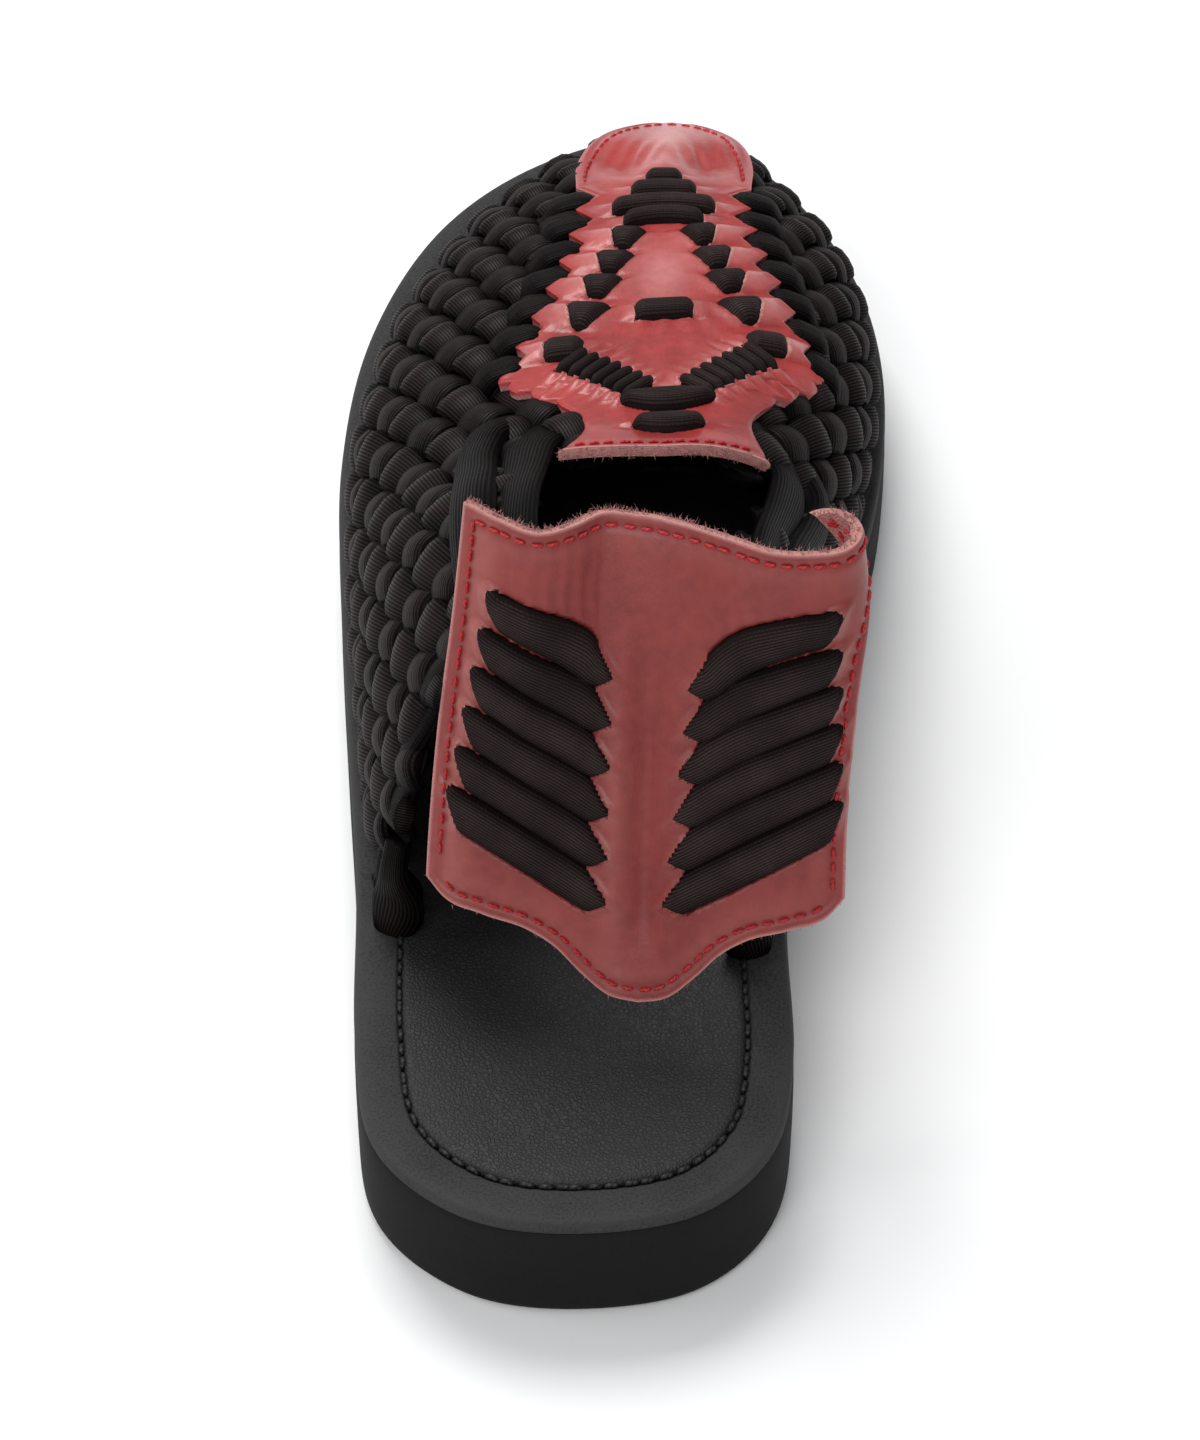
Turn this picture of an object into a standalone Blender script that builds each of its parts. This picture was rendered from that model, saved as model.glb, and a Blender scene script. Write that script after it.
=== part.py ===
"""Woven cord and leather sandal, the left shoe of its pair.

The shoe stands on its sole: +Y points to the toe, +X to the inner side of the foot, +Z up.
"""

import math

import bmesh
import bpy
import numpy as np

MM = 0.001
GAP = 0.3 * MM

# Sole
MIDSOLE_THICK = 3.0 * MM
MIDSOLE_ROUND = 0.9 * MM
POCKET_INSET = 8.0 * MM
POCKET_DEPTH = 1.2 * MM
INSOLE_INSET = 8.5 * MM
WALL_ROOM = 3.4 * MM
WALL_START_Y = -66.0 * MM
WALL_RUN_IN = 40.0 * MM
INSOLE_PROUD = 0.6 * MM
INSOLE_ROUND = 0.9 * MM
DISH_INSET = 20.0 * MM
DISH_DEPTH = 0.7 * MM
TREAD_ROUND = 2.6 * MM
TREAD_EDGE_INSET = 0.7 * MM
TREAD_EDGE_RISE = 0.8 * MM
EDGE_CURVE_STEPS = 24
EDGE_STEPS = 34
EDGE_CROWDING = 0.45

# Tread grooves across the bottom
GROOVE_WIDE = 4.0 * MM
GROOVE_DEEP = 2.5 * MM
GROOVE_LONG = 150.0 * MM
GROOVE_PITCH = 17.0 * MM
HEEL_GROOVE_FIRST, HEEL_GROOVES = -118.0 * MM, 4
BALL_GROOVE_FIRST, BALL_GROOVES = 14.0 * MM, 5

# Once round the top of the sole, from the back of the heel along the inner side
SOLE_EDGE_MM = (
    # place, x, y
    ("heel back", 0.0, -142.0),
    ("heel back, inner", 22.3, -136.5),
    ("heel, inner", 35.2, -121.5),
    ("heel side, inner", 37.8, -100.0),
    ("waist, inner", 35.0, -68.0),
    ("arch, inner", 34.8, -34.0),
    ("ball rear, inner", 39.8, 5.0),
    ("ball, inner", 46.6, 46.0),
    ("big toe root", 46.2, 82.0),
    ("big toe", 38.0, 110.0),
    ("toe, inner", 20.8, 132.6),
    ("toe tip", 1.0, 142.0),
    ("toe, outer", -24.6, 133.2),
    ("little toe", -44.4, 113.8),
    ("little toe root", -55.6, 83.6),
    ("ball, outer", -57.8, 48.0),
    ("ball rear, outer", -54.0, 10.0),
    ("waist, outer", -49.0, -28.0),
    ("heel front, outer", -44.0, -65.0),
    ("heel side, outer", -40.8, -101.0),
    ("heel, outer", -35.2, -125.0),
    ("heel back, outer", -19.5, -139.0),
)
TOE_TIP_ROW = 11

# Height of the top of the midsole and of the tread along the shoe
SOLE_PROFILE_MM = (
    # y, top, tread
    (-142.0, 25.5, 0.0),
    (-80.0, 25.3, 0.0),
    (-20.0, 23.0, 0.0),
    (40.0, 20.8, 0.0),
    (85.0, 21.4, 0.0),
    (115.0, 23.8, 2.0),
    (142.0, 27.5, 6.0),
)

# The last: each section springs from both edges of the sole and meets at a ridge over the foot
LAST_MM = (
    # y on the sole's edge, inset outer, inset inner, ridge x, ridge y, ridge z, fullness, bulge
    (-90.0, 5.6, 4.2, 8.5, -112.0, 113.0, 1.8, 0.6),
    (-56.0, 4.6, 4.2, 8.5, -80.0, 108.5, 1.85, 1.2),
    (-36.0, 4.2, 4.2, 8.5, -54.0, 103.5, 2.0, 2.0),
    (-20.0, 4.2, 4.2, 8.5, -32.0, 95.5, 2.15, 2.6),
    (-4.0, 4.2, 4.2, 8.5, -12.0, 83.0, 2.3, 2.8),
    (8.0, 4.2, 4.2, 8.2, 4.5, 73.0, 2.4, 2.8),
    (24.0, 4.6, 4.2, 7.0, 22.0, 66.8, 2.5, 2.6),
    (44.0, 5.8, 4.2, 5.2, 43.0, 61.5, 2.5, 2.4),
    (64.0, 7.6, 4.2, 3.8, 63.0, 56.6, 2.45, 2.0),
    (84.0, 9.4, 4.4, 2.5, 83.0, 51.6, 2.35, 1.6),
    (104.0, 10.6, 4.8, 1.4, 102.0, 46.0, 2.25, 1.2),
    (118.0, 10.4, 5.0, 0.8, 115.0, 41.2, 2.15, 0.8),
    (130.0, 7.0, 4.0, 0.8, 127.0, 36.0, 2.05, 0.5),
    (138.0, 3.0, 2.0, 1.0, 136.0, 31.4, 2.0, 0.2),
    (141.9, 1.0, 1.0, 1.0, 140.6, 28.6, 2.0, 0.0),
)
SECTION_STEPS = 48
BULGE_LOWNESS = 0.7
LAST_END_Y = 141.6 * MM
ROW_NUDGE = 0.5 * MM
ARC_NUDGE = 0.6 * MM
SHARE_NUDGE = 0.01
TOE_LIFT = 0.7 * MM
TOE_LIFT_Y = 60.0 * MM
TOE_LIFT_RUN = 16.0 * MM

# Plaited wall
WEAVE_THICK = 3.2 * MM
WEAVE_PEAK = 1.3 * MM
WEAVE_VALLEY = -0.5 * MM
WEAVE_UNDER_VAMP = -0.3 * MM
WEAVE_VAMP_MARGIN = 2.5 * MM
QUARTER_ROWS = 12
FOREPART_ROWS = 23
WEAVE_COLUMNS = 30
COLLAR_COLUMNS = 12
WEAVE_REAR_Y = -58.0 * MM
WEAVE_REAR_SWEEP = 60.0 * MM
WEAVE_REAR_MOST_Y = -88.0 * MM
THROAT_Y = 5.0 * MM
REAR_HALVINGS = 24
WEAVE_FRONT_Y = 135.0 * MM

# Vamp leather
VAMP_THICK = 2.0 * MM
VAMP_SEAT = 0.4 * MM
VAMP_FRONT_Y = 141.2 * MM
VAMP_REAR_Y = 2.0 * MM
VAMP_ROWS = 54
VAMP_COLUMNS = 8
TAB_CENTRE_Y = 112.0 * MM
TAB_NOSE = 1.2 * MM
TAB_FULLNESS = 2.5
TOOTH_FIRST_Y = 36.0 * MM
TOOTH_LAST_Y = 106.0 * MM
TOOTH_PITCH = 10.0 * MM
TOOTH_DEEP = 4.0 * MM
VAMP_MM = (
    # y at the ridge, half width, skew of the rows towards the toe on the inner side (thousandths)
    (2.0, 19.5, 200.0),
    (8.0, 16.6, 200.0),
    (14.0, 15.2, 200.0),
    (20.0, 17.5, 200.0),
    (27.0, 24.5, 200.0),
    (34.0, 31.0, 200.0),
    (44.0, 28.6, 200.0),
    (54.0, 25.6, 200.0),
    (66.0, 22.4, 200.0),
    (84.0, 18.4, 190.0),
    (96.0, 17.0, 140.0),
    (108.0, 17.0, 100.0),
    (121.5, 17.5, 50.0),
    (142.0, 17.5, 0.0),
)

# Heel strap
STRAP_THICK = 2.4 * MM
STRAP_SEAT = 1.3 * MM
STRAP_LEAN = math.radians(30.0)
STRAP_FOOT = (9.8 * MM, -97.0 * MM, 34.0 * MM)
STRAP_TAB = 18.0 * MM
STRAP_TALL = 72.0 * MM
STRAP_SHEER = -1.0 * MM
STRAP_SIDES_MM = (
    # height, half width outer, half width inner
    (-18.0, 38.5, 36.0),
    (0.0, 38.5, 36.0),
    (30.0, 36.8, 36.4),
    (52.0, 34.4, 39.6),
    (72.0, 32.6, 50.0),
)
STRAP_COLUMNS = 28
STRAP_ROWS = 14
STRAP_BOW = 260.0 * MM
STRAP_REACH = 52.0 * MM
STRAP_STEPS = 209
CURL_START = 32.0 * MM
CURL_RADIUS = 5.0 * MM
CURL_AT_HEM = 0.06
CURL_GROWTH = 1.4
SWAY_GROWTH = 1.5
STRAP_SWAY_MM = (
    # across from the middle, backward sway of the top edge
    (-42.0, 0.0),
    (-33.0, -1.4),
    (-26.0, -4.8),
    (-19.0, -7.0),
    (-13.5, -4.2),
    (-9.5, -1.0),
    (-2.0, -0.6),
    (8.0, -3.2),
    (15.0, -6.2),
    (22.0, -9.2),
    (29.0, -9.8),
    (36.0, -9.2),
    (52.0, -9.2),
)
STRAP_HEM_MM = (
    # across from the middle, height of the lower edge
    (0.0, -18.0),
    (6.0, -16.8),
    (11.0, -13.2),
    (16.0, -8.8),
    (21.0, -6.2),
    (30.0, -4.2),
    (38.0, -1.6),
    (41.0, 1.5),
)

# Cord runs over the vamp: rows mirrored about the ridge, then rows across it
CORD_HIGH = 2.4 * MM
BAR_STEPS = 5
VAMP_SIDE_BARS_MM = (
    # name, inner end across and y, outer end across and y, width
    ("side_1", 3.8, 80.4, 10.6, 81.8, 6.4),
    ("side_2", 6.0, 71.4, 13.4, 72.8, 6.4),
    ("side_3", 8.2, 62.6, 16.0, 64.0, 6.6),
    ("side_4", 10.8, 51.6, 19.2, 53.8, 8.0),
    ("corner", 15.6, 41.4, 22.4, 41.8, 6.8),
    ("chevron_1", 11.6, 37.6, 17.6, 32.0, 4.4),
    ("chevron_2", 8.6, 34.0, 14.4, 28.6, 4.4),
    ("chevron_3", 5.6, 30.2, 11.2, 25.0, 4.2),
)
VAMP_CROSS_BARS_MM = (
    # name, half length, y, width, bow of the middle towards the toe
    ("toe_1", 3.2, 107.0, 5.0, 0.0),
    ("toe_2", 6.0, 101.0, 5.2, 0.4),
    ("toe_3", 9.6, 93.7, 5.2, 1.6),
    ("toe_4", 7.4, 88.0, 4.6, 1.8),
    ("middle", 5.2, 53.0, 6.0, 0.0),
    ("lens_1", 8.6, 21.4, 6.6, -0.6),
    ("lens_2", 6.6, 11.6, 6.0, 0.0),
)

# Cord runs over the strap, the same on both sides
STRAP_BARS = 6
STRAP_BAR_WIDE = 6.4 * MM
STRAP_BAR_SEAT = 0.45 * MM
STRAP_BARS_MM = (
    # side, upper run: outer end across and height, inner end; lower run: the same
    ("outer", -26.4, 55.0, -8.6, 44.0, -32.6, 15.4, -8.2, 2.2),
    ("inner", 30.4, 56.5, 9.4, 43.6, 32.4, 17.2, 6.4, 2.8),
)

# Anchor cords from the insole's edge to the rear edge of the plaited wall
ANCHOR_RADIUS = 2.5 * MM
ANCHOR_INSET = 5.6 * MM
ANCHOR_SEAT = 0.8 * MM
ANCHOR_STEPS = 9
ANCHOR_RIM_SHARES = (1.0, 0.6)
ANCHOR_RIM_STEPS = 41
ANCHORS_MM = (
    # name, y of the slot
    ("front", -68.5),
    ("rear", -75.5),
)


def column(table, index):
    """One column of a table in metres."""
    return np.array([row[index] for row in table], dtype=float) * MM


def smooth(at, knots, values):
    """Values read at a place along a table, through a smooth curve."""
    slopes = np.gradient(values, knots)
    at = np.clip(at, knots[0], knots[-1])
    left = np.clip(np.searchsorted(knots, at, side="right") - 1, 0, len(knots) - 2)
    step = knots[left + 1] - knots[left]
    u = (at - knots[left]) / step
    start, end = values[left], values[left + 1]
    return (
        start * (2 * u**3 - 3 * u**2 + 1)
        + slopes[left] * step * (u**3 - 2 * u**2 + u)
        + end * (3 * u**2 - 2 * u**3)
        + slopes[left + 1] * step * (u**3 - u**2)
    )


def closed_curve(points, steps):
    """A smooth closed curve through points."""
    before, after = np.roll(points, 1, axis=0), np.roll(points, -1, axis=0)
    beyond = np.roll(points, -2, axis=0)
    u = np.linspace(0.0, 1.0, steps, endpoint=False)[None, :, None]
    p0, p1, p2, p3 = (row[:, None, :] for row in (before, points, after, beyond))
    curve = 0.5 * (
        2 * p1
        + (p2 - p0) * u
        + (2 * p0 - 5 * p1 + 4 * p2 - p3) * u**2
        + (3 * p1 - p0 - 3 * p2 + p3) * u**3
    )
    return curve.reshape(-1, 2)


class SoleEdge:
    """One side of the sole's edge, from the back of the heel to the toe tip."""

    def __init__(self, points, inward):
        self.points = points
        steps = np.linalg.norm(np.diff(points, axis=0), axis=1)
        self.length = np.concatenate([[0.0], np.cumsum(steps)])
        along = np.gradient(points, axis=0)
        along /= np.linalg.norm(along, axis=1)[:, None]
        self.inward = inward * np.stack([-along[:, 1], along[:, 0]], axis=1)

    def at_length(self, share, inset):
        """A point at a share of the edge's length, moved inward."""
        at = np.asarray(share) * self.length[-1]
        place = [np.interp(at, self.length, self.points[:, k]) for k in (0, 1)]
        turn = [np.interp(at, self.length, self.inward[:, k]) for k in (0, 1)]
        return np.stack([p + inset * t for p, t in zip(place, turn)], axis=-1)

    def at_y(self, y, inset):
        """A point at a given y of the edge, moved inward."""
        share = np.interp(y, self.points[:, 1], self.length) / self.length[-1]
        return self.at_length(share, inset)


def sole_edges():
    """Both sides of the sole's edge."""
    points = np.stack([column(SOLE_EDGE_MM, 1), column(SOLE_EDGE_MM, 2)], axis=1)
    curve = closed_curve(points, EDGE_CURVE_STEPS)
    toe = TOE_TIP_ROW * EDGE_CURVE_STEPS
    inner = curve[: toe + 1]
    outer = np.concatenate([curve[:1], curve[:toe - 1 : -1]])
    return SoleEdge(inner, 1.0), SoleEdge(outer, -1.0)


INNER_EDGE, OUTER_EDGE = sole_edges()


def bed_z(y):
    """Height of the top of the midsole."""
    return smooth(y, column(SOLE_PROFILE_MM, 0), column(SOLE_PROFILE_MM, 1))


def tread_z(y):
    """Height of the tread, flat on the floor up to the toe spring."""
    return np.maximum(smooth(y, column(SOLE_PROFILE_MM, 0), column(SOLE_PROFILE_MM, 2)), 0.0)


def finish_of(name, colour, roughness):
    """A plain material."""
    finish = bpy.data.materials.new(name)
    finish.use_nodes = True
    shader = finish.node_tree.nodes["Principled BSDF"]
    shader.inputs["Base Color"].default_value = (*colour, 1.0)
    shader.inputs["Roughness"].default_value = roughness
    return finish


def sole_ring(inset, height):
    """Points once round the sole, at an inset from its edge and a height over each y."""
    even = np.linspace(0.0, 1.0, EDGE_STEPS + 1)
    share = even + EDGE_CROWDING * (0.5 - 0.5 * np.cos(math.pi * even) - even)
    sides = []
    for edge, part in ((INNER_EDGE, share), (OUTER_EDGE, share[-2:0:-1])):
        narrow = np.clip((edge.at_length(part, 0.0)[:, 1] - WALL_START_Y) / WALL_RUN_IN, 0.0, 1.0)
        deep = 1.0 if inset >= POCKET_INSET else 0.0
        sides.append(edge.at_length(part, inset + deep * WALL_ROOM * narrow))
    ring = np.concatenate(sides)
    return np.column_stack([ring, height(ring[:, 1])])


def sole_loft(name, rings):
    """A closed layer of the sole, lofted through rings from its bottom to its top."""
    count = len(rings[0])
    form = bmesh.new()
    layers = [[form.verts.new(point) for point in ring] for ring in rings]
    for low, high in zip(layers, layers[1:]):
        for k in range(count):
            form.faces.new((low[k], low[(k + 1) % count], high[(k + 1) % count], high[k]))
    for layer, turned in ((layers[0], True), (layers[-1], False)):
        for k in range(count // 2):
            corners = [layer[k], layer[k + 1], layer[-k - 1], layer[-k]]
            corners = list(dict.fromkeys(corners))
            form.faces.new(corners[::-1] if turned else corners)
    bmesh.ops.recalc_face_normals(form, faces=form.faces)
    mesh = bpy.data.meshes.new(name)
    form.to_mesh(mesh)
    form.free()
    return mesh


def section(y):
    """Points of one section of the last, outer base to ridge to inner base."""
    knots = column(LAST_MM, 0)
    inset_outer, inset_inner, ridge_x, ridge_y, ridge_z, bulge = (
        float(smooth(y, knots, column(LAST_MM, k))) for k in (1, 2, 3, 4, 5, 7)
    )
    fullness = float(smooth(y, knots, column(LAST_MM, 6) / MM))
    angle = np.linspace(0.0, math.pi / 2, SECTION_STEPS)
    run = 1.0 - np.cos(angle) ** (2.0 / fullness)
    rise = np.sin(angle) ** (2.0 / fullness)
    slide = angle / angle[-1]
    swell = bulge * np.sin(math.pi * slide**BULGE_LOWNESS)
    lift = GAP + TOE_LIFT * np.clip((y - TOE_LIFT_Y) / TOE_LIFT_RUN, 0.0, 1.0)
    halves = []
    for edge, inset in ((OUTER_EDGE, inset_outer), (INNER_EDGE, inset_inner)):
        base = edge.at_y(y, inset)
        foot_z = float(bed_z(base[1])) + lift
        inward = np.array([ridge_x - base[0], ridge_y - base[1]])
        outward = -inward / max(np.linalg.norm(inward), MM)
        points = np.column_stack(
            [
                base[0] + inward[0] * run + outward[0] * swell,
                base[1] + inward[1] * slide + outward[1] * swell * (1 - slide),
                foot_z + (ridge_z - foot_z) * rise,
            ]
        )
        halves.append(points)
    return np.concatenate([halves[0], halves[1][-2::-1]])


def section_arc(y):
    """Points of one section of the last, and their arc length from its ridge."""
    points = section(y)
    steps = np.linalg.norm(np.diff(points, axis=0), axis=1)
    arc = np.concatenate([[0.0], np.cumsum(steps)])
    return points, arc - arc[SECTION_STEPS - 1]


def by_arc(y, across):
    """A point of the last by arc length from its ridge, negative on the outer side."""
    points, arc = section_arc(y)
    return np.array([np.interp(across, arc, points[:, k]) for k in range(3)])


def by_share(y, share):
    """A point of the last: share -1 at the outer base, 0 at the ridge, 1 at the inner base."""
    points, arc = section_arc(y)
    across = share * (-arc[0] if share < 0 else arc[-1])
    return np.array([np.interp(across, arc, points[:, k]) for k in range(3)])


def arc_of_share(y, share):
    """Arc length from the ridge to a share of a section, negative on the outer side."""
    _, arc = section_arc(y)
    return share * (-arc[0] if share < 0 else arc[-1])


def lifted(place, y, value, offset):
    """A point of the last moved outward along its normal; place(y, value) gives the point."""
    point = place(y, value)
    if offset == 0.0:
        return point
    along = place(y + ROW_NUDGE, value) - place(y - ROW_NUDGE, value)
    if place is by_share:
        low, high = max(value - SHARE_NUDGE, -1.0), min(value + SHARE_NUDGE, 1.0)
    else:
        low, high = value - ARC_NUDGE, value + ARC_NUDGE
    normal = np.cross(place(y, high) - place(y, low), along)
    return point + offset * normal / np.linalg.norm(normal)


def strap_plan(height):
    """The strap's run across at one height: developed distance, x and forward offset."""
    share = np.clip(height / STRAP_TALL, 0.0, 1.0)
    across, step = np.linspace(-STRAP_REACH, STRAP_REACH, STRAP_STEPS, retstep=True)
    curl = CURL_AT_HEM + (1.0 - CURL_AT_HEM) * share**CURL_GROWTH
    turn = np.clip(across - CURL_START, 0.0, None) / CURL_RADIUS * curl
    heading = across / STRAP_BOW + turn
    middle = len(across) // 2
    x = np.cumsum(np.cos(heading)) * step
    forward = np.cumsum(np.sin(heading)) * step
    sway = smooth(across, column(STRAP_SWAY_MM, 0), column(STRAP_SWAY_MM, 1)) * share**SWAY_GROWTH
    return across, x - x[middle], forward - forward[middle] + sway


def strap_point(across, height):
    """A point of the strap's middle surface, by developed distance across and height along it."""
    run, x, forward = strap_plan(height)
    rise = height + STRAP_TAB
    share = rise / (STRAP_TALL + STRAP_TAB)
    return np.array(
        [
            STRAP_FOOT[0] + STRAP_SHEER * share + np.interp(across, run, x),
            STRAP_FOOT[1] + rise * math.sin(STRAP_LEAN) + np.interp(across, run, forward),
            STRAP_FOOT[2] + rise * math.cos(STRAP_LEAN),
        ]
    )


def strap_lifted(across, height, offset):
    """A point off the strap's middle surface, to its back face for a positive offset."""
    side = strap_point(across + ARC_NUDGE, height) - strap_point(across - ARC_NUDGE, height)
    up = strap_point(across, height + ARC_NUDGE) - strap_point(across, height - ARC_NUDGE)
    normal = np.cross(side, up)
    return strap_point(across, height) + offset * normal / np.linalg.norm(normal)


def strap_face_y(x, z):
    """The y of the strap's middle surface at an x and a height, short of its curled end."""
    rise = (z - STRAP_FOOT[2]) / math.cos(STRAP_LEAN)
    run, plan_x, forward = strap_plan(rise - STRAP_TAB)
    share = rise / (STRAP_TALL + STRAP_TAB)
    flat = run < CURL_START
    offset = np.interp(x - STRAP_FOOT[0] - STRAP_SHEER * share, plan_x[flat], forward[flat])
    return STRAP_FOOT[1] + rise * math.sin(STRAP_LEAN) + offset


def rear_limit(share):
    """The y on the sole's edge at which the plaited wall ends: its rear edge, or the strap's inner face."""
    room = STRAP_THICK / 2 + STRAP_SEAT

    def clear(y):
        """Whether both faces of the wall stand ahead of the strap."""
        for offset in (WEAVE_PEAK, -WEAVE_THICK):
            x, at_y, z = lifted(by_share, y, share, offset)
            if at_y < strap_face_y(x, z) + room / math.cos(STRAP_LEAN):
                return False
        return True

    low = max(WEAVE_REAR_Y - WEAVE_REAR_SWEEP * (1.0 - abs(share)), WEAVE_REAR_MOST_Y)
    high = THROAT_Y
    if clear(low):
        return low
    for _ in range(REAR_HALVINGS):
        middle = (low + high) / 2
        low, high = (low, middle) if clear(middle) else (middle, high)
    return high


def vamp_body_half(y):
    """Half width of the vamp at a row, without its tab's round front and its teeth."""
    return float(smooth(y, column(VAMP_MM, 0), column(VAMP_MM, 1)))


def vamp_skew(y):
    """How far a row runs towards the toe for each length across."""
    return float(smooth(y, column(VAMP_MM, 0), column(VAMP_MM, 2) / MM)) / 1000.0


def vamp_half(y):
    """Half width of the vamp at a row, with the sawtooth of its edges."""
    half = vamp_body_half(y)
    if y > TAB_CENTRE_Y:
        reach = min((y - TAB_CENTRE_Y) / (VAMP_FRONT_Y - TAB_CENTRE_Y), 1.0)
        return max(half * (1.0 - reach**TAB_FULLNESS) ** (1.0 / TAB_FULLNESS), TAB_NOSE)
    if TOOTH_FIRST_Y < y < TOOTH_LAST_Y:
        phase = (y - TOOTH_FIRST_Y) / TOOTH_PITCH % 1.0
        half -= TOOTH_DEEP * (1.0 - abs(2.0 * phase - 1.0))
    return half


def vamp_place(across, y, offset):
    """A point over the vamp's place on the last, by arc length across and row, with the rows' skew."""
    return lifted(by_arc, min(y + vamp_skew(y) * across, LAST_END_Y), across, offset)


def grid_mesh(name, columns, rows, place, keep=None, split=None):
    """A grid laid by place(column, row) over a surface, with faces kept and split on request."""
    form = bmesh.new()
    bmesh.ops.create_grid(form, x_segments=columns, y_segments=rows, size=0.5)
    index = {}
    for vert in form.verts:
        cell = (round((vert.co.x + 0.5) * columns), round((vert.co.y + 0.5) * rows))
        index[vert] = cell
        vert.co = place(*cell)
    if keep:
        drop = [face for face in form.faces if not keep([index[v] for v in face.verts])]
        bmesh.ops.delete(form, geom=drop, context="FACES")
    if split:
        for face in list(form.faces):
            low = [v for v in face.verts if split(index[v])]
            if len(low) == 2:
                bmesh.utils.face_split(face, low[0], low[1])
    mesh = bpy.data.meshes.new(name)
    form.to_mesh(mesh)
    form.free()
    return mesh


def add_solidify(item, thickness, side):
    """Give an open surface its wall; side is 1 along its normals, -1 against them, 0 both ways."""
    wall = item.modifiers.new("wall", "SOLIDIFY")
    wall.thickness = thickness
    wall.offset = side
    wall.use_rim = True


def bar_mesh(name, place, start, end, width, high, seat, bow=0.0):
    """A run of flat cord laid over a surface between two places, its ends drawn down."""
    outline = ((-0.5, 0.0), (-0.5, 0.45), (-0.24, 1.0), (0.24, 1.0), (0.5, 0.45), (0.5, 0.0))
    start, end = np.array(start), np.array(end)
    along = (end - start) / np.linalg.norm(end - start)
    side = np.array([-along[1], along[0]])
    form = bmesh.new()
    rings = []
    for k in range(BAR_STEPS):
        share = k / (BAR_STEPS - 1)
        arch = 1.0 - (2.0 * share - 1.0) ** 4
        centre = start + (end - start) * share + side * bow * (1.0 - (2.0 * share - 1.0) ** 2)
        ring = []
        for across, rise in outline:
            spot = centre + side * across * width * (0.82 + 0.18 * arch)
            ring.append(form.verts.new(place(spot[0], spot[1], seat + high * rise * (0.5 + 0.5 * arch))))
        rings.append(ring)
    for low, top in zip(rings, rings[1:]):
        for k in range(len(outline)):
            after = (k + 1) % len(outline)
            form.faces.new((low[k], low[after], top[after], top[k]))
    form.faces.new(rings[0])
    form.faces.new(rings[-1][::-1])
    bmesh.ops.recalc_face_normals(form, faces=form.faces)
    mesh = bpy.data.meshes.new(name)
    form.to_mesh(mesh)
    form.free()
    return mesh


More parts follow.
